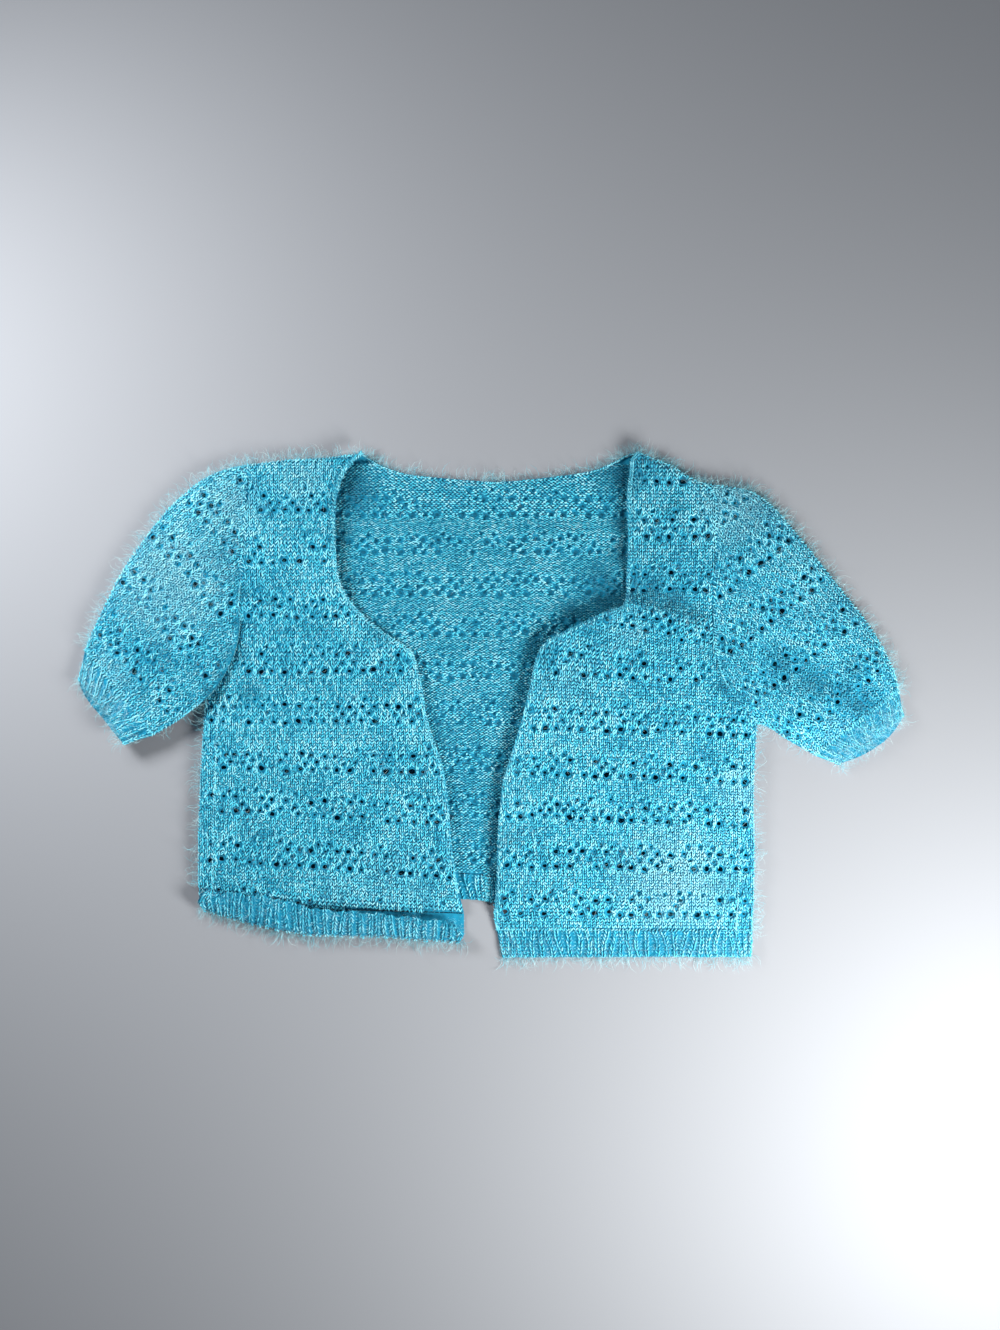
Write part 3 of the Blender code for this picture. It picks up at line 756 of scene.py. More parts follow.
def strands(name, batches, material, slot, sizes, seed):
    """A plain mesh of strands on the gathered points. sizes is length, thickness, arch and segments."""
    length, thickness, arch, segments = sizes
    places, ways, normals, scales, down_and_painted_light = (np.concatenate(parts) for parts in zip(*batches))
    ways = ways / np.linalg.norm(ways, axis=1)[:, None]
    backs = normals - ways * (normals * ways).sum(1)[:, None]
    backs /= np.linalg.norm(backs, axis=1)[:, None]
    half_drop = np.abs(ways[:, 2]) * length / 2 * scales[:, 1]
    arch_drop = arch * scales[:, 2] * np.maximum(-backs[:, 2], 0)
    lowest = half_drop + arch_drop + thickness * scales[:, 0]
    places[:, 2] = np.clip(places[:, 2], lowest, HIGHEST - arch * scales[:, 2])
    points = bpy.data.meshes.new(name + "_points")
    points.from_pydata(places * MM, [], [])
    points.attributes.new("turn", "FLOAT_VECTOR", "POINT").data.foreach_set(
        "vector", turns(ways, normals).ravel()
    )
    points.attributes.new("size", "FLOAT_VECTOR", "POINT").data.foreach_set("vector", scales.ravel())
    points.attributes.new("down_and_painted_light", "FLOAT", "POINT").data.foreach_set("value", down_and_painted_light)
    carrier = bpy.data.objects.new(name + "_points", points)
    bpy.context.scene.collection.objects.link(carrier)
    modifier = carrier.modifiers.new("strands", "NODES")
    modifier.node_group = TREE
    values = {
        "Length": length * MM,
        "Thickness": thickness * MM,
        "Arch": arch * MM,
        "Sides": 3,
        "Segments": segments,
        "Seed": seed,
        "Material": material,
    }
    for socket in TREE.interface.items_tree:
        if socket.item_type == "SOCKET" and socket.name in values:
            modifier[socket.identifier] = values[socket.name]
    evaluated = carrier.evaluated_get(bpy.context.evaluated_depsgraph_get())
    mesh = bpy.data.meshes.new_from_object(evaluated)
    mesh.name = name
    bpy.data.objects.remove(carrier)
    bpy.data.meshes.remove(points)
    return shown(name, mesh, slot)


def rotated(way, angle):
    """Flat directions turned by the angles."""
    c, s = np.cos(angle), np.sin(angle)
    return np.column_stack([way[:, 0] * c - way[:, 1] * s, way[:, 0] * s + way[:, 1] * c])


def knitted_grid(panel, bands):
    """Flat places, slopes and sizes of all the panel's stitches, row by row between the lace bands."""
    u_all, _ = panel.local(panel.loop)
    columns = np.arange(u_all.min() + STITCH / 2, u_all.max(), STITCH)
    lines = band_lines(bands, columns)
    rises = [i * LACE_ROW for i in range(LACE_ROWS)]
    rises += [rises[-1] + (i + 1) * PLAIN_ROW for i in range(PLAIN_ROWS)]
    u, v, slope, tall = [], [], [], []
    for k in range(1, len(lines)):
        gap = lines[k - 1] - lines[k]
        tilt = np.gradient(lines[k], columns)
        tilt_above = np.gradient(lines[k - 1], columns)
        for i, rise in enumerate(rises):
            share = rise / REPEAT
            u.append(columns)
            v.append(lines[k] + gap * share)
            slope.append(tilt + (tilt_above - tilt) * share)
            row = LACE_ROW if i < LACE_ROWS else PLAIN_ROW
            tall.append(row * gap / REPEAT)
    return (np.concatenate(part) for part in (u, v, slope, tall))


def round_eyelets(panel, places, ways):
    """Loops near an eyelet move out to its rim and turn along it. Those in its middle are dropped."""
    if not len(panel.eyelets):
        return places, ways, np.ones(len(places), bool)
    centres = panel.flat(panel.eyelets[:, 0], panel.eyelets[:, 1])
    keep = np.ones(len(places), bool)
    block = 3000
    for first in range(0, len(places), block):
        part = slice(first, first + block)
        offset = places[part, None, :] - centres
        distance = np.linalg.norm(offset, axis=2)
        nearest = distance.argmin(1)
        rows = np.arange(len(nearest))
        away = distance[rows, nearest]
        out = offset[rows, nearest] / np.maximum(away, 1e-6)[:, None]
        rim = panel.eyelets[nearest, 2:].mean(1) + RIM
        reach = rim + RIM_REACH
        near = away < reach
        moved = centres[nearest] + out * (rim + away * (reach - rim) / reach)[:, None]
        places[part] = np.where(near[:, None], moved, places[part])
        tangent = np.column_stack([-out[:, 1], out[:, 0]])
        same = np.sign((tangent * ways[part]).sum(1))[:, None]
        pull = (RIM_PULL * (1 - away / reach) * near)[:, None]
        ways[part] = ways[part] * (1 - pull) + tangent * same * pull
        keep[part] = away > RIM_INSIDE * rim
    return places, ways, keep


def knit_loops(panel, bands, rng, purl=False, hidden=None):
    """Points for the panel's loops: two legs of a V for each stitch, or two bumps where it shows its back."""
    u, v, slope, tall = knitted_grid(panel, bands)
    seen = clearance(panel.loop, panel.flat(u, v)) > STITCH_MARGIN
    if hidden is not None:
        seen &= ~hidden(panel.flat(u, v))
    u, v, slope, tall = u[seen], v[seen], slope[seen], tall[seen]
    row_way = panel.across + slope[:, None] * panel.up
    row_way /= np.linalg.norm(row_way, axis=1)[:, None]
    wale = np.column_stack([-row_way[:, 1], row_way[:, 0]])
    batches = []
    for side in (-1, 1):
        if purl:
            across, up = BUMP_APART
            places = panel.flat(u, v) + row_way * (across * side * STITCH) + wale * (up * side * tall)[:, None]
            ways = rotated(row_way, side * BUMP_LEAN + rng.normal(0, BUMP_SWAY, len(u)))
            scale = np.column_stack([tall / PLAIN_ROW, np.full(len(u), BUMP_THIN), np.ones(len(u))])
        else:
            places = panel.flat(u, v) + row_way * (LEG_APART * side * STITCH)
            ways = rotated(wale, -side * LEG_LEAN + rng.normal(0, LEG_SWAY, len(u)))
            scale = np.column_stack([np.ones(len(u)), tall / PLAIN_ROW, np.ones(len(u))])
        places = places + rng.normal(0, LOOP_STRAY, places.shape)
        places, ways, keep = round_eyelets(panel, places, ways)
        keep &= clearance(panel.loop, places) > LOOP_MARGIN
        places, ways, scale = places[keep], ways[keep], scale[keep]
        lift = rng.normal(*LOOP_LIFT, len(places))
        normal = panel.normals(places)
        flat_way = np.column_stack([ways, np.zeros(len(ways))])
        flat_way -= normal * (flat_way * normal).sum(1)[:, None]
        scale = scale * rng.uniform(*LOOP_GROWTH, len(places))[:, None]
        batches.append((panel.placed(places, lift), flat_way, normal, scale, down_and_painted_light_at(places)))
    return batches


def turned_inwards(panel, line, side):
    """The directions that leave an edge's points sideways, all on the panel's inner side."""
    ahead = np.median(clearance(panel.loop, line + side * SIDE_TEST))
    behind = np.median(clearance(panel.loop, line - side * SIDE_TEST))
    return -side if ahead < behind else side


def chain(panel, points, rng, lift=0.5, inset=0.9, down_and_painted_light=0.25, step=2.6, slant=0.7):
    """A line of slanted loops along an edge or a seam of the panel."""
    line = along(points, step)
    ahead = on_curve(points, np.minimum((np.arange(len(line)) + 1) / len(line), 1)) - line
    ahead /= np.linalg.norm(ahead, axis=1)[:, None]
    inward = turned_inwards(panel, line, np.column_stack([-ahead[:, 1], ahead[:, 0]]))
    places = line + inward * inset
    ways = rotated(ahead, rng.normal(slant, CHAIN_SWAY, len(line)))
    normal = np.tile((0.0, 0.0, 1.0), (len(line), 1))
    scale = rng.uniform(*CHAIN_GROWTH, len(line))[:, None] * np.ones((1, 3))
    flat_way = np.column_stack([ways, np.zeros(len(ways))])
    return (panel.placed(places, lift), flat_way, normal, scale, np.full(len(line), down_and_painted_light))


def loose_hairs(panel, rng, count, hidden=None):
    """Down over the panel: hairs that lie every way, most of them nearly flat."""
    low, high = panel.loop.min(0), panel.loop.max(0)
    places = rng.uniform(low, high, (int(count * TRIES), 2))
    places = places[clearance(panel.loop, places) > LOWEST_HAIR]
    if hidden is not None:
        places = places[~hidden(places)]
    places = places[:count]
    thick = THIN_DOWN + down_and_painted_light_at(places)
    places = places[rng.uniform(0, FULL_DOWN, len(places)) < thick]
    turn = rng.uniform(0, 2 * math.pi, len(places))
    tilt = rng.normal(*HAIR_TILT, len(places))
    ways = np.column_stack([np.cos(turn), np.sin(turn), tilt])
    normal = rng.normal(0, 1, (len(places), 3))
    scale = rng.uniform(*HAIR_GROWTH, len(places))
    scales = np.column_stack([rng.uniform(*HAIR_THICKNESS, len(places)), scale, scale])
    lift = rng.uniform(*HAIR_LIFT, len(places))
    return (panel.placed(places, lift), ways, normal, scales, down_and_painted_light_at(places))


def edge_hairs(panel, points, rng, density, height=1.5):
    """Down that stands out past an edge of the garment, as many hairs to a millimetre as density says."""
    count = int(curve_length(points) * density)
    t = rng.uniform(0, 1, count)
    line = on_curve(points, t)
    ahead = on_curve(points, np.minimum(t + EDGE_PART, 1)) - on_curve(points, np.maximum(t - EDGE_PART, 0))
    ahead /= np.linalg.norm(ahead, axis=1)[:, None]
    outward = -turned_inwards(panel, line, np.column_stack([-ahead[:, 1], ahead[:, 0]]))
    flat_way = rotated(outward, rng.normal(0, EDGE_HAIR_SWING, count))
    ways = np.column_stack([flat_way, rng.normal(*EDGE_HAIR_TILT, count)])
    # Most hairs are short and a few are long.
    scale = rng.gamma(3.0, 0.3, count).clip(*EDGE_HAIR_GROWTH)
    half = HALF_HAIR * scale
    places = line + flat_way * (half - rng.uniform(*EDGE_HAIR_ROOT, count))[:, None]
    z = panel.top(line) + rng.uniform(-EDGE_HAIR_DROP, height, count) + ways[:, 2] * half * 0.6
    normal = rng.normal(0, 1, (count, 3))
    scales = np.column_stack([rng.uniform(*EDGE_HAIR_THICKNESS, count), scale, scale])
    return (np.column_stack([places, np.maximum(z, LOWEST_HAIR)]), ways, normal, scales, down_and_painted_light_at(line))


class Patch:
    """A ribbed band: a surface over t, along the hem, and s, from its seam to its free edge."""

    def __init__(self, name, surface, ribs, depth, thickness=BAND, side=1, plain=0.0, ridges=None):
        self.name = name
        self.surface = surface
        self.ribs = ribs
        self.depth = depth
        self.thickness = thickness
        self.side = side
        self.plain = plain
        self.ridges = ridges

    def frame(self, t, s):
        """Directions along the hem, towards its free edge and out of the cloth."""
        t_less, t_more = np.maximum(t - BAND_STEP, 0), np.minimum(t + BAND_STEP, 1)
        s_less, s_more = np.maximum(s - BAND_STEP, 0), np.minimum(s + BAND_STEP, 1)
        along_t = self.surface(t_more, s) - self.surface(t_less, s)
        along_s = self.surface(t, s_more) - self.surface(t, s_less)
        along_t /= np.linalg.norm(along_t, axis=1)[:, None]
        along_s /= np.linalg.norm(along_s, axis=1)[:, None]
        normal = self.side * np.cross(along_s, along_t)
        normal /= np.linalg.norm(normal, axis=1)[:, None]
        return along_t, along_s, normal

    def waver(self, t, s):
        """How far a rib strays along the hem from its even place, as a share of the hem's length."""
        return (0.22 * np.sin(19 * t + 2.6 * s) + 0.14 * np.sin(47 * t - 4.1 * s)) / self.ribs

    def rib_height(self, t, s):
        """How far the ribs stand out: not at all on the share of the band that lies underneath."""
        if self.ridges is not None:
            return self.ridges(t, s)
        seen = smooth_step((s - self.plain) / 0.08 + 0.5) if self.plain else 1.0
        strength = 0.8 + 0.2 * np.sin(33 * t + 1.3 * s)
        even = t - self.waver(t, s)
        return RIB_RISE * seen * strength * (0.5 - 0.5 * np.cos(2 * math.pi * self.ribs * even)) ** 0.8

    def mesh(self, rows):
        columns = 6 * self.ribs
        t, s = np.meshgrid(np.arange(columns + 1) / columns, np.arange(rows + 1) / rows, indexing="ij")
        t, s = t.ravel(), s.ravel()
        _, _, normal = self.frame(t, s)
        low = self.surface(t, s)
        high = low + normal * (self.thickness + self.rib_height(t, s))[:, None]
        high[:, 2] = np.maximum(high[:, 2], 0.0)
        faces = []
        for i in range(columns):
            for j in range(rows):
                a = i * (rows + 1) + j
                b = a + rows + 1
                faces.append((a, a + 1, b + 1, b)[:: self.side])
        return wall_mesh(self.name, low, high, faces)

    def loops(self, rng):
        """V legs on each rib, low bumps in the valleys between the ribs, and a row that ends each rib."""
        rows = max(3, round(self.depth / PLAIN_ROW))
        row_s = (np.arange(rows) + 0.5) / rows
        ridges = (np.arange(self.ribs) + 0.5) / self.ribs
        valleys = np.arange(1, self.ribs) / self.ribs
        ridge_t, ridge_s = (part.ravel() for part in np.meshgrid(ridges, row_s))
        valley_t, valley_s = (part.ravel() for part in np.meshgrid(valleys, row_s))
        batches = []
        for side in (-1, 1):
            s = (ridge_s + rng.normal(0, 0.008, ridge_s.size)).clip(0.01, 0.99)
            t = (ridge_t + side * 0.16 / self.ribs + self.waver(ridge_t, s)).clip(0.002, 0.998)
            t = t + rng.normal(0, 0.03 / self.ribs, t.size)
            along_t, along_s, normal = self.frame(t, s)
            lean = side * LEG_LEAN + rng.normal(0, 0.16, t.size)
            ways = -along_s * np.cos(lean)[:, None] + along_t * np.sin(lean)[:, None]
            lift = self.thickness + self.rib_height(t, s) + rng.normal(0, 0.15, t.size)
            places = self.surface(t, s) + normal * lift[:, None]
            scale = rng.uniform(0.8, 1.15, (len(t), 1)) * np.ones((1, 3))
            batches.append((places, ways, normal, scale, down_and_painted_light_at(places[:, :2])))
        s = valley_s
        t = valley_t + self.waver(valley_t, s)
        along_t, along_s, normal = self.frame(t, s)
        places = self.surface(t, s) + normal * (self.thickness - 0.2)
        scale = rng.uniform(0.5, 0.75, (len(t), 1)) * np.ones((1, 3))
        batches.append((places, along_t, normal, scale, np.zeros(len(t))))
        half_ribs = np.arange(1, 2 * self.ribs) / (2 * self.ribs)
        t = half_ribs + rng.normal(0, 0.1 / self.ribs, half_ribs.size)
        s = rng.uniform(0.96, 1.0, t.size)
        along_t, along_s, normal = self.frame(t, s)
        places = self.surface(t, s) + normal * (self.thickness * rng.uniform(0.3, 1.1, (t.size, 1)))
        scale = rng.uniform(0.7, 1.0, (t.size, 1)) * np.ones((1, 3))
        ways = along_t + along_s * rng.normal(0, 0.5, (t.size, 1))
        batches.append((places, ways, normal, scale, down_and_painted_light_at(places[:, :2])))
        return batches

    def hairs(self, rng, count, reach=1.0):
        """Down over the band, thicker towards its free edge."""
        t = rng.uniform(0, 1, count)
        s = rng.beta(2.0, 1.2, count)
        along_t, along_s, normal = self.frame(t, s)
        turn = rng.uniform(0, 2 * math.pi, count)[:, None]
        ways = along_t * np.cos(turn) + along_s * np.sin(turn) + normal * rng.uniform(0, 1.0, (count, 1))
        places = self.surface(t, s) + normal * rng.uniform(*BAND_HAIR_LIFT, (count, 1))
        places[:, 2] = np.maximum(places[:, 2], BAND_LOWEST_HAIR)
        scale = rng.uniform(*BAND_HAIR_GROWTH, count)
        scales = np.column_stack([rng.uniform(*BAND_HAIR_THICKNESS, count), scale, scale]) * reach
        return (places, ways, rng.normal(0, 1, (count, 3)), scales, down_and_painted_light_at(places[:, :2]))


def flat_band(seam, edge, underside):
    """Surface of a band between two lines, at the height that underside gives."""

    def surface(t, s):
        flat = on_curve(seam, t) * (1 - s)[:, None] + on_curve(edge, t) * s[:, None]
        return np.column_stack([flat, underside(flat, t, s)])

    return surface


def uneven_edge(t):
    """How far the turned-up hem's free edge strays."""
    return 0.8 * np.sin(57 * t) + 0.5 * np.sin(131 * t)


def rolled_band():
    """Surface of the turned-up hem: out along the floor, round the fold and back over itself."""
    table = np.array(ROLL_STATIONS, float)

    def surface(t, s):
        x = table[0, 0] + (table[-1, 0] - table[0, 0]) * t
        seam_y = np.interp(x, table[:, 0], table[:, 1]) - ROLL_SEAM_GAP
        free_y = np.interp(x, table[:, 0], table[:, 2]) + uneven_edge(t)
        fold_y = np.interp(x, table[:, 0], table[:, 3])
        centre = fold_y + ROLL_RADIUS + BAND + RIB_RISE
        out = seam_y - centre
        bend = math.pi * ROLL_RADIUS
        back = free_y - centre
        way = s * (out + bend + back)
        turn = np.clip((way - out) / ROLL_RADIUS, 0, math.pi)
        y_out = seam_y - np.minimum(way, out)
        past = np.maximum(way - out - bend, 0)
        share = past / np.maximum(back, 1e-6)
        y = y_out - ROLL_RADIUS * np.sin(turn) + past
        level = on_back(np.column_stack([x, np.where(way < out, y_out, centre)]))
        z = level + BAND + ROLL_RADIUS * (1 - np.cos(turn)) + ROLL_SWELL * np.sin(share * math.pi * 0.8)
        z -= ROLL_SINK * share**2 * smooth_step((0.45 - t) / 0.2)
        across = np.clip((y - fold_y) / (free_y - fold_y), 0, 1)
        drawn_in = END_ROUNDING * (2 * across - 1) ** 2 * (way > out)
        left_end = smooth_step((ROLL_END - t) / ROLL_END)
        right_end = smooth_step((t - (1 - ROLL_END)) / ROLL_END)
        x = x + drawn_in * (left_end - right_end)
        return np.column_stack([x, y, z])

    return surface


# How far each of these moves the yarn's colour along its ramp, from dark at 0 to light at 1.
TONE = 0.62  # of the single loop
CLOUD = 0.7
FIBRE = 0.45
# Painted shade: how far a shaded hollow moves the colour towards dark.
SHADE_SHIFT = 0.22
DARKER = 0.07
# How much of the colour pale down and painted glare veil, and painted shade darkens, at their strongest.
DOWN_AND_GLARE_SHARE = 0.6
SHADE_MIX = 0.8


def yarn_material(name, dark, mid, light):
    """Brushed mohair yarn: a matt, hairy thread whose dye takes unevenly, so each loop has its own tone. Thick
    down and painted glare pale it, and painted shade darkens it in hollows.
    """
    material, tree, shader = plain_material(name)
    place = add(tree, "ShaderNodeTexCoord").outputs["Object"]
    tone = add(tree, "ShaderNodeAttribute", attribute_name="tone").outputs["Fac"]
    down_and_painted_light = add(tree, "ShaderNodeAttribute", attribute_name="down_and_painted_light").outputs["Fac"]
    # Uneven dyeing, in clouds about 30 mm across.
    cloud = add(tree, "ShaderNodeTexNoise", {"Vector": place, "Scale": 34.0, "Detail": 2.0}).outputs["Fac"]
    # Single fibres are finer than the picture shows, so they are drawn about 0.8 mm wide.
    fibre = add(tree, "ShaderNodeTexNoise", {"Vector": place, "Scale": 1200.0, "Detail": 2.0}).outputs["Fac"]
    # The attribute's part below 0 is painted shade, in hollows and creases.
    shade_part = add(tree, "ShaderNodeMath", {0: down_and_painted_light, 1: 0.0}, operation="MINIMUM").outputs[0]
    part = add(tree, "ShaderNodeMath", {0: tone, 1: TONE, 2: -TONE / 2}, operation="MULTIPLY_ADD").outputs[0]
    for cause, share in ((cloud, CLOUD), (fibre, FIBRE), (shade_part, SHADE_SHIFT)):
        part = add(tree, "ShaderNodeMath", {0: cause, 1: share, 2: part}, operation="MULTIPLY_ADD").outputs[0]
    part = add(tree, "ShaderNodeMath", {0: part, 1: -DARKER}, operation="ADD").outputs[0]
    ramp = add(tree, "ShaderNodeValToRGB", {"Fac": part})
    ramp.color_ramp.elements[0].position = 0.12
    ramp.color_ramp.elements[0].color = linear(dark)
    ramp.color_ramp.elements[1].position = 0.92
    ramp.color_ramp.elements[1].color = linear(light)
    ramp.color_ramp.elements.new(0.5).color = linear(mid)
    dyed = ramp.outputs["Color"]
    # Pale down, and painted glare where the light falls brightest, pale the colour.
    down_and_glare = add(tree, "ShaderNodeMath", {0: down_and_painted_light, 1: DOWN_AND_GLARE_SHARE}, operation="MULTIPLY", use_clamp=True).outputs[0]
    paled = add(
        tree, "ShaderNodeMix", {"Factor": down_and_glare, 6: dyed, 7: linear(DOWN_AND_GLARE_GREY)}, data_type="RGBA"
    ).outputs[2]
    # Painted shade draws the colour towards the deep teal in hollows and creases.
    painted_shade = add(tree, "ShaderNodeMath", {0: shade_part, 1: -SHADE_MIX}, operation="MULTIPLY", use_clamp=True).outputs[0]
    colour = add(
        tree, "ShaderNodeMix", {"Factor": painted_shade, 6: paled, 7: linear(AQUA_DEEP)}, data_type="RGBA"
    ).outputs[2]
    tree.links.new(colour, shader.inputs["Base Color"])
    shader.inputs["Roughness"].default_value = 0.9
    shader.inputs["Specular IOR Level"].default_value = 0.2
    shader.inputs["Sheen Weight"].default_value = 0.2
    shader.inputs["Sheen Roughness"].default_value = 0.5
    shader.inputs["Sheen Tint"].default_value = linear(DOWN_PALE)
    return material


def ground_material(name, dark, light):
    """The knitting under its loops: the same dyed mohair, deep in its own shade."""
    material, tree, shader = plain_material(name)
    place = add(tree, "ShaderNodeTexCoord").outputs["Object"]
    cloud = add(tree, "ShaderNodeTexNoise", {"Vector": place, "Scale": 60.0, "Detail": 3.0}).outputs["Fac"]
    # One wave for a stitch's width and one for a row's height raise the ground between the loops.
    columns = add(
        tree, "ShaderNodeTexWave", {"Vector": place, "Scale": 46.0, "Distortion": 1.0}, bands_direction="X"
    ).outputs["Fac"]
    rows = add(
        tree, "ShaderNodeTexWave", {"Vector": place, "Scale": 60.0, "Distortion": 1.0}, bands_direction="Y"
    ).outputs["Fac"]
    relief = add(tree, "ShaderNodeMath", {0: columns, 1: rows}, operation="ADD").outputs[0]
    mixed = add(tree, "ShaderNodeMix", {"Factor": cloud, 6: linear(dark), 7: linear(light)}, data_type="RGBA")
    bump = add(tree, "ShaderNodeBump", {"Height": relief, "Strength": 0.6, "Distance": 0.0006}).outputs[0]
    tree.links.new(mixed.outputs[2], shader.inputs["Base Color"])
    tree.links.new(bump, shader.inputs["Normal"])
    shader.inputs["Roughness"].default_value = 0.95
    shader.inputs["Specular IOR Level"].default_value = 0.2
    shader.inputs["Sheen Weight"].default_value = 0.2
    return material


def down_material():
    """Loose mohair down: fine bright hairs that catch the light and pale the colour under them."""
    material, tree, shader = plain_material("mohair_down")
    tone = add(tree, "ShaderNodeAttribute", attribute_name="tone").outputs["Fac"]
    mixed = add(
        tree, "ShaderNodeMix", {"Factor": tone, 6: linear(AQUA), 7: linear(DOWN_PALE)}, data_type="RGBA"
    )
    tree.links.new(mixed.outputs[2], shader.inputs["Base Color"])
    shader.inputs["Roughness"].default_value = 0.8
    shader.inputs["Specular IOR Level"].default_value = 0.1
    return material


YARN = yarn_material("mohair_yarn", AQUA_SHADE, AQUA, AQUA_LIGHT)
YARN_INSIDE = yarn_material("mohair_yarn_wrong_side", AQUA_SHADE, AQUA_WRONG, AQUA_LIGHT)
GROUND = ground_material("mohair_knit_ground", AQUA_DEEP, AQUA_SHADE)
# Painted shade for the back's closed eyelets.
EYELET_SHADE = ground_material("mohair_painted_eyelet_shade", AQUA_EYELET_SHADE, AQUA_DEEP)
DOWN = down_material()
TREE = strand_tree()

# Length, thickness and arch in millimetres, and the number of straight segments.
LEG_SIZES = (4.1, 0.6, 0.9, 3)
BUMP_SIZES = (3.4, 0.62, 1.5, 3)
HAIR_SIZES = (8.5, 0.055, 2.2, 2)


def settled(height):
    """The cloth sinks under its own weight where it would stand highest."""
    return np.minimum(height, SAG_FROM + (height - SAG_FROM) * SAG_SHARE)


def front_height(folds, seed, free_edge, curl, hem):
    """Underside of a front's cloth, lofted away from its edges, with its folds and its curled free edge."""
    edge_line = along(free_edge, OUTLINE_STEP)
    hem_points = along(hem, OUTLINE_STEP)

    def height(points, away):
        above_hem = smooth_step(nearest_on(hem_points, points) / HEM_REACH)
        pillow = rounded(away / LOFT_REACH) * above_hem
        lift = (LOFT + FRONT_RIPPLE * ripple(points, seed) + folded(points, folds)) * pillow
        near_edge = smooth_step(1 - nearest_on(edge_line, points) / CURL_REACH)
        rise = np.interp(points[:, 1], *np.transpose(curl))
        return settled(on_back(points) + np.maximum(lift, 0.0) + rise * near_edge * above_hem)

    return height


def cuff_ribs(share, back):
    """Height, from 0 to 1, of the cuff's ribs and the gathers that run on from them, which waver a little."""
    waver = 0.16 * np.sin(back / 7 + 9 * share) + 0.3 * np.sin(5.3 * share + 1) + 0.11 * np.sin(31 * share)
    strength = 0.75 + 0.25 * np.sin(23 * share + back / 15)
    return strength * (0.5 - 0.5 * np.cos(2 * math.pi * (CUFF_RIBS * share + waver)))


def underarm_lift(sleeve, points):
    """How far the sleeve's underarm edge stands off the surface, from the cuff to the armhole."""
    edge = along([sleeve["cuff_top"][-1], *sleeve["underarm"]], OUTLINE_STEP)
    return sleeve["underarm_lift"] * smooth_step(1 - nearest_on(edge, points) / UNDERARM_REACH)


def sleeve_height(sleeve, folds, seed):
    """Underside of a sleeve's top layer: a low puff, gathers out of the cuff's seam and soft folds."""
    start, end = np.array(sleeve["seam"][0], float), np.array(sleeve["seam"][-1], float)
    length = np.linalg.norm(end - start)
    across = (end - start) / length
    toward = np.array(sleeve["toward_cuff"]) / np.linalg.norm(sleeve["toward_cuff"])
    armhole = along(sleeve["armhole"], OUTLINE_STEP)

    def height(points, away):
        offset = points - start
        share = np.clip(offset @ across / length, 0, 1)
        back = np.maximum(-(offset @ toward), 0)
        puff = SLEEVE_PUFF * rounded(away / PUFF_REACH)
        at_armhole = LOFT * rounded(away / LOFT_REACH)
        at_cuff = CUFF_PUFF * np.sin(math.pi * share)
        by_armhole = nearest_on(armhole, points)
        steep = smooth_step((sleeve["steep_below"] - points[:, 1]) / STEEP_FADE)
        off_armhole = smooth_step(by_armhole / ARMHOLE_REACH)
        off_armhole += (rounded(by_armhole / STEEP_REACH) - off_armhole) * steep
        off_cuff = smooth_step(back / CUFF_REACH)
        level = at_armhole + (puff - at_armhole) * off_armhole
        level = at_cuff + (level - at_cuff) * off_cuff
        fade = smooth_step(1 - back / GATHER_LENGTH)
        rise = sleeve["rib_rise"] * fade + GATHER_RISE * fade * off_cuff
        gathers = rise * cuff_ribs(share, back)
        soft = SLEEVE_RIPPLE * ripple(points, seed) + folded(points, folds)
        soft = soft * smooth_step(away / SLEEVE_EASE) * off_cuff
        lift = underarm_lift(sleeve, points)
        level = level * (1 - UNDERARM_FLATTENS * lift)
        return settled(LAYER + np.maximum(level + gathers + soft, LEAST_PUFF) + lift)

    return height


def low_height(seed, sleeve=None):
    """Underside of a layer that lies on the surface: nearly flat, and lifted at a sleeve's underarm edge."""

    def height(points, away):
        uneven = UNDER_RIPPLE * smooth_step(away / UNDER_EASE) * (0.5 + 0.5 * ripple(points, seed))
        return uneven if sleeve is None else uneven + underarm_lift(sleeve, points)

    return height


def under_fronts(points):
    """True where a front hides the back."""
    return (clearance(LOOP_LEFT, points) > OVERLAP) | (clearance(LOOP_RIGHT, points) > OVERLAP)


ROLL_SEAM = [(x, y) for x, y, _, _ in ROLL_STATIONS]
ROLL_FOLD = [(x, y) for x, _, _, y in ROLL_STATIONS]
SIDE_SEAM_LEFT = [(-221, 0), (-223, -45), (-225, -94), (-226, -150)]
SIDE_SEAM_RIGHT = [(203, -16), (201, -77), (201, -118), (200, -160), (199, -183)]
HEM_SEAM_LOWERED = [(4.6, -183.3), (110, -183.3), (211.6, -183.3)]
LOOP_LEFT = outline_of(
    SHOULDER_LEFT, ARMHOLE_LEFT, [*SIDE_LEFT[:-1], ROLL_SEAM[0]], ROLL_SEAM,
    [ROLL_SEAM[-1], *FRONT_EDGE_LEFT[1:]], NECK_LEFT,
)
LOOP_RIGHT = outline_of(
    SHOULDER_RIGHT, ARMHOLE_RIGHT, SIDE_RIGHT, HEM_SEAM_RIGHT, FRONT_EDGE_RIGHT, NECK_RIGHT
)


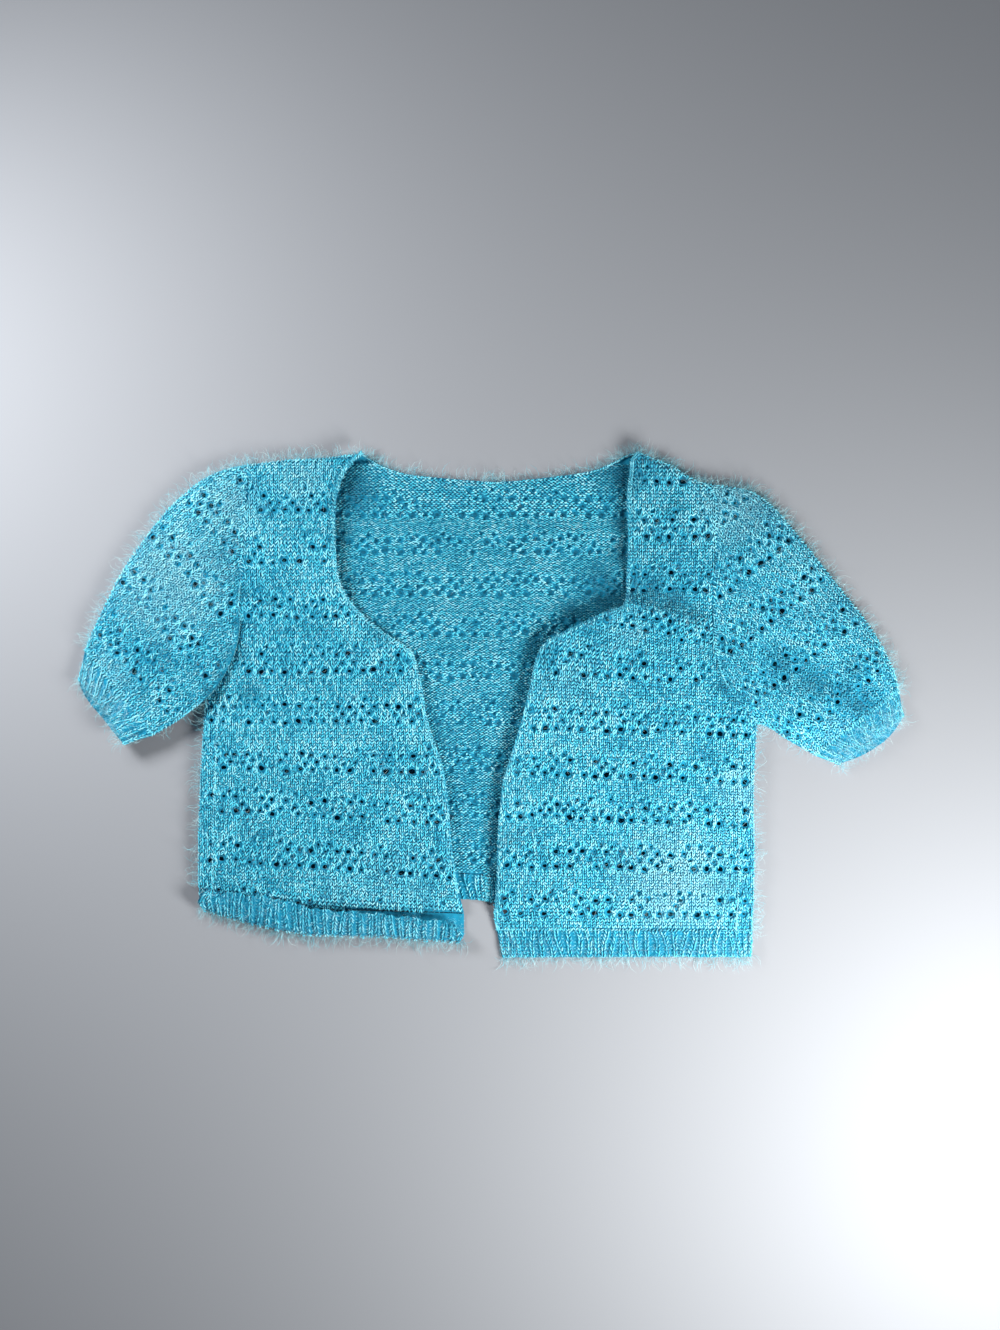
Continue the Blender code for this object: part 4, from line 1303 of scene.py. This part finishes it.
def build_back():
    rng = np.random.default_rng(11)
    seam = [(x, y + BACK_RIB_DEPTH) for x, y in BACK_HEM]
    loop = outline_of(
        BACK_NECK, SHOULDER_RIGHT, ARMHOLE_RIGHT, [*SIDE_RIGHT[:-1], seam[-1]], seam[::-1],
        [seam[0], *SIDE_LEFT[-2::-1]], ARMHOLE_LEFT[::-1], SHOULDER_LEFT[::-1],
    )
    panel = Panel("back_cloth", loop, [BACK_NECK], low_height(3))
    add_eyelets(panel, BANDS_BACK, rng, size=0.8)
    centres = panel.flat(panel.eyelets[:, 0], panel.eyelets[:, 1])
    panel.eyelets = panel.eyelets[~under_fronts(centres)]
    # The back's eyelets stay closed, their faces in painted shade.
    cloth = shown("back_cloth", panel_mesh(panel, hole_loops(panel, rng), closed=True), "knit", GROUND, EYELET_SHADE)
    batches = knit_loops(panel, BANDS_BACK, rng, purl=True, hidden=under_fronts)
    batches.append(chain(panel, BACK_NECK, rng, down_and_painted_light=0.3))
    loops = strands("back_stitches", batches, YARN_INSIDE, "knit", BUMP_SIZES, seed=1)
    hairs = [
        loose_hairs(panel, rng, count=2200, hidden=under_fronts),
        edge_hairs(panel, BACK_NECK, rng, density=4.0),
    ]
    down = strands("back_down", hairs, DOWN, "knit", HAIR_SIZES, seed=2)
    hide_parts("back")
    lowered = [(x, y - SEAM_GAP) for x, y in seam]
    band = Patch("back_hem_cloth", flat_band(lowered, BACK_HEM, on_surface), HEM_RIBS_BACK, BACK_RIB_DEPTH)
    hem = shown("back_hem_cloth", band.mesh(rows=4), "rib", GROUND)
    shown_loops = []
    for places, ways, normal, scale, down_and_painted_light in band.loops(rng):
        seen = ~under_fronts(places[:, :2])
        shown_loops.append((places[seen], ways[seen], normal[seen], scale[seen], down_and_painted_light[seen]))
    rib_loops = strands("back_hem_stitches", shown_loops, YARN_INSIDE, "rib", LEG_SIZES, seed=3)
    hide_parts("back_hem_rib")


def build_front_left():
    rng = np.random.default_rng(21)
    free_edge = [*FRONT_EDGE_LEFT[1:-1], *NECK_LEFT]
    height = front_height(FOLDS_FRONT_LEFT, 5, free_edge, CURL_LEFT, ROLL_SEAM)
    panel = Panel("front_left_cloth", LOOP_LEFT, [free_edge, SIDE_LEFT, SHOULDER_LEFT], height)
    add_eyelets(panel, BANDS_FRONT_LEFT, rng)
    cloth = shown("front_left_cloth", panel_mesh(panel, hole_loops(panel, rng)), "knit", GROUND)
    batches = knit_loops(panel, BANDS_FRONT_LEFT, rng)
    batches.append(chain(panel, free_edge, rng))
    batches.append(chain(panel, free_edge, rng, inset=2.4))
    batches.append(chain(panel, SIDE_LEFT, rng, inset=0.4))
    batches.append(chain(panel, SHOULDER_LEFT, rng, inset=0.4))
    batches.append(chain(panel, ARMHOLE_LEFT, rng, inset=0.0, lift=0.6))
    batches.append(chain(panel, SIDE_SEAM_LEFT, rng, lift=0.7, inset=0.0, down_and_painted_light=0.5))
    loops = strands("front_left_stitches", batches, YARN, "knit", LEG_SIZES, seed=4)
    hairs = [
        loose_hairs(panel, rng, count=5200),
        edge_hairs(panel, SIDE_LEFT, rng, density=3.5),
        edge_hairs(panel, SHOULDER_LEFT, rng, density=5.0),
    ]
    down = strands("front_left_down", hairs, DOWN, "knit", HAIR_SIZES, seed=5)
    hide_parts("front_left")
    band = Patch("front_left_hem_cloth", rolled_band(), ROLL_RIBS, ROLL_DEPTH, side=-1, plain=ROLL_PLAIN)
    hem = shown("front_left_hem_cloth", band.mesh(rows=22), "rib", GROUND)
    rib_loops = strands("front_left_hem_stitches", band.loops(rng), YARN, "rib", LEG_SIZES, seed=6)
    corners = np.array([*ROLL_FOLD, (-22, -160), (-237, -150)], float)
    low_panel = Panel("fold", corners, [ROLL_FOLD], on_surface)
    rib_hairs = [band.hairs(rng, count=1300), edge_hairs(low_panel, ROLL_FOLD, rng, density=5.5)]
    rib_down = strands("front_left_hem_down", rib_hairs, DOWN, "rib", HAIR_SIZES, seed=7)
    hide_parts("front_left_hem_rib")


def build_front_right():
    rng = np.random.default_rng(31)
    free_edge = [*FRONT_EDGE_RIGHT, *NECK_RIGHT[1:]]
    height = front_height(FOLDS_FRONT_RIGHT, 6, free_edge, CURL_RIGHT, HEM_SEAM_RIGHT)
    panel = Panel("front_right_cloth", LOOP_RIGHT, [free_edge, SIDE_RIGHT, SHOULDER_RIGHT], height)
    add_eyelets(panel, BANDS_FRONT_RIGHT, rng)
    cloth = shown("front_right_cloth", panel_mesh(panel, hole_loops(panel, rng)), "knit", GROUND)
    batches = knit_loops(panel, BANDS_FRONT_RIGHT, rng)
    batches.append(chain(panel, free_edge, rng))
    batches.append(chain(panel, free_edge, rng, inset=2.4))
    batches.append(chain(panel, SIDE_RIGHT, rng, inset=0.4))
    batches.append(chain(panel, SHOULDER_RIGHT, rng, inset=0.4))
    batches.append(chain(panel, ARMHOLE_RIGHT, rng, inset=0.0, lift=0.6))
    batches.append(chain(panel, HEM_SEAM_RIGHT, rng, inset=0.0, lift=0.5))
    batches.append(chain(panel, SIDE_SEAM_RIGHT, rng, lift=0.7, inset=0.0, down_and_painted_light=0.8))
    loops = strands("front_right_stitches", batches, YARN, "knit", LEG_SIZES, seed=8)
    hairs = [
        loose_hairs(panel, rng, count=6200),
        edge_hairs(panel, SIDE_RIGHT, rng, density=4.0),
        edge_hairs(panel, SHOULDER_RIGHT, rng, density=6.0),
    ]
    down = strands("front_right_down", hairs, DOWN, "knit", HAIR_SIZES, seed=9)
    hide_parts("front_right")
    surface = flat_band(HEM_SEAM_LOWERED, HEM_EDGE_RIGHT, lambda points, t, s: on_back(points))
    band = Patch("front_right_hem_cloth", surface, HEM_RIBS_RIGHT, HEM_DEPTH_RIGHT)
    hem = shown("front_right_hem_cloth", band.mesh(rows=6), "rib", GROUND)
    rib_loops = strands("front_right_hem_stitches", band.loops(rng), YARN, "rib", LEG_SIZES, seed=10)
    corners = np.array([(4, -183), (4, -205.5), (212, -204.5), (212, -183)], float)
    low_panel = Panel("hem", corners, [HEM_EDGE_RIGHT], on_surface)
    rib_hairs = [band.hairs(rng, count=1000), edge_hairs(low_panel, HEM_EDGE_RIGHT, rng, density=5.5)]
    rib_down = strands("front_right_hem_down", rib_hairs, DOWN, "rib", HAIR_SIZES, seed=11)
    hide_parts("front_right_hem_rib")


def build_sleeve(side, sleeve, folds, seed):
    """A puff sleeve: a flat-laid tube with a puffed top layer, gathered at its cuff, in soft folds."""
    rng = np.random.default_rng(seed)
    name = f"sleeve_{side}_cloth"
    seam = sleeve["seam"]
    loop = outline_of(sleeve["outer"], seam, sleeve["underarm"], sleeve["armhole"][::-1])
    toward = np.array(sleeve["toward_cuff"]) / np.linalg.norm(sleeve["toward_cuff"])
    middle = (np.array(seam[0], float) + np.array(seam[-1], float)) / 2
    free = [sleeve["outer"], sleeve["underarm"]]
    panel = Panel(name, loop, free, sleeve_height(sleeve, folds, seed), middle, -toward)
    bands = [(back, back, -100, 100) for back in reversed(sleeve["bands"])]
    add_eyelets(panel, bands, rng)
    top = panel_mesh(panel, hole_loops(panel, rng))
    under_height = low_height(seed + 1, sleeve)
    under_panel = Panel(f"sleeve_{side}_under_cloth", loop, free, under_height, middle, -toward)
    cloth = shown(name, joined(name, top, panel_mesh(under_panel, [])), "sleeve_knit", GROUND)
    batches = knit_loops(panel, bands, rng)
    batches.append(chain(panel, sleeve["outer"], rng, inset=0.4))
    batches.append(chain(panel, sleeve["underarm"], rng, inset=0.4))
    for inset in (-1.0, 0.6):
        batches.append(chain(panel, seam, rng, inset=inset, lift=0.5, slant=1.2, step=2.2))
    loops = strands(f"sleeve_{side}_stitches", batches, YARN, "sleeve_knit", LEG_SIZES, seed + 2)
    hairs = [
        loose_hairs(panel, rng, count=4200),
        edge_hairs(panel, sleeve["outer"], rng, density=5.5),
        edge_hairs(panel, sleeve["underarm"], rng, density=1.5),
    ]
    down = strands(f"sleeve_{side}_down", hairs, DOWN, "sleeve_knit", HAIR_SIZES, seed + 3)
    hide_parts(f"sleeve_{side}_top", f"sleeve_{side}_under")
    build_cuff(side, sleeve, panel, rng, seed)


def build_cuff(side, sleeve, panel, rng, seed):
    """The sleeve's ribbed cuff: a short flat-laid tube past the sleeve's seam."""
    toward = np.array(sleeve["toward_cuff"]) / np.linalg.norm(sleeve["toward_cuff"])
    seam_line = [tuple(np.array(p, float) + toward * SEAM_GAP) for p in sleeve["seam"]]
    turned = 1 if side == "left" else -1

    def top_height(points, t, s):
        return LAYER + CUFF_PUFF * np.sin(math.pi * t) + underarm_lift(sleeve, points)

    def under_height(points, t, s):
        return underarm_lift(sleeve, points)

    def ridges(t, s):
        return sleeve["rib_rise"] * cuff_ribs(t, -CUFF_DEPTH * s)

    top_surface = flat_band(seam_line, sleeve["cuff_top"], top_height)
    under_surface = flat_band(seam_line, sleeve["cuff_under"], under_height)
    band = Patch(f"cuff_{side}_top", top_surface, CUFF_RIBS, CUFF_DEPTH, side=turned, ridges=ridges)
    under_band = Patch(
        f"cuff_{side}_under", under_surface, CUFF_RIBS, CUFF_DEPTH, thickness=CUFF_UNDER, side=turned
    )
    name = f"cuff_{side}_cloth"
    cuff = shown(name, joined(name, band.mesh(rows=6), under_band.mesh(rows=4)), "rib", GROUND)
    loops = strands(f"cuff_{side}_stitches", band.loops(rng), YARN, "rib", LEG_SIZES, seed + 4)
    hairs = [band.hairs(rng, count=900, reach=1.1), edge_hairs(panel, sleeve["cuff_top"], rng, density=6.0)]
    down = strands(f"cuff_{side}_down", hairs, DOWN, "rib", HAIR_SIZES, seed + 5)
    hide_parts(f"cuff_{side}_top", f"cuff_{side}_under")


def build_floor():
    """A plain pale surface, matt and a little cool."""
    mesh = bpy.data.meshes.new("floor")
    corners = [(x * FLOOR_HALF, y * FLOOR_HALF, FLOOR_LEVEL) for x, y in ((-1, -1), (1, -1), (1, 1), (-1, 1))]
    mesh.from_pydata(corners, [], [(0, 1, 2, 3)])
    floor = bpy.data.objects.new("floor", mesh)
    bpy.context.scene.collection.objects.link(floor)
    material, _, shader = plain_material("painted_board")
    shader.inputs["Base Color"].default_value = linear(FLOOR_GREY)
    shader.inputs["Roughness"].default_value = 0.8
    mesh.materials.append(material)


def build_camera():
    """Straight above the garment, framed so that each pixel covers its share of the surface."""
    wide, high = PICTURE
    x = (wide / 2 - MIDDLE_PIXEL[0]) * PIXEL * MM
    y = (MIDDLE_PIXEL[1] - high / 2) * PIXEL * MM
    data = bpy.data.cameras.new("camera")
    data.sensor_width = SENSOR
    data.sensor_fit = "AUTO"
    data.lens = SENSOR * CAMERA_HEIGHT / (high * PIXEL * MM)
    camera = bpy.data.objects.new("camera", data)
    camera.location = (x, y, CAMERA_HEIGHT)
    bpy.context.scene.collection.objects.link(camera)
    bpy.context.scene.camera = camera


def soft_lamp(name, place, size, power, colour):
    """A round soft lamp, turned to the garment's middle and not seen itself."""
    data = bpy.data.lights.new(name, "AREA")
    data.shape = "DISK"
    data.size = size
    data.energy = power
    data.color = linear(colour)[:3]
    light = bpy.data.objects.new(name, data)
    light.location = place
    light.rotation_euler = Vector(place).to_track_quat("Z", "Y").to_euler()
    light.visible_camera = False
    bpy.context.scene.collection.objects.link(light)


def build_light():
    """Two near soft lamps, the stronger at the lower right and the other at the upper left, and a dim room."""
    for lamp in LAMPS:
        soft_lamp(*lamp)
    world = bpy.data.worlds.new("studio")
    world.use_nodes = True
    sky = world.node_tree.nodes["Background"]
    sky.inputs["Color"].default_value = linear(SKY)
    sky.inputs["Strength"].default_value = SKY_STRENGTH
    bpy.context.scene.world = world
    bpy.context.scene.view_settings.view_transform = "Standard"


build_floor()
build_camera()
build_light()
build_back()
build_front_left()
build_front_right()
build_sleeve("left", SLEEVE_LEFT, FOLDS_SLEEVE_LEFT, 41)
build_sleeve("right", SLEEVE_RIGHT, FOLDS_SLEEVE_RIGHT, 51)
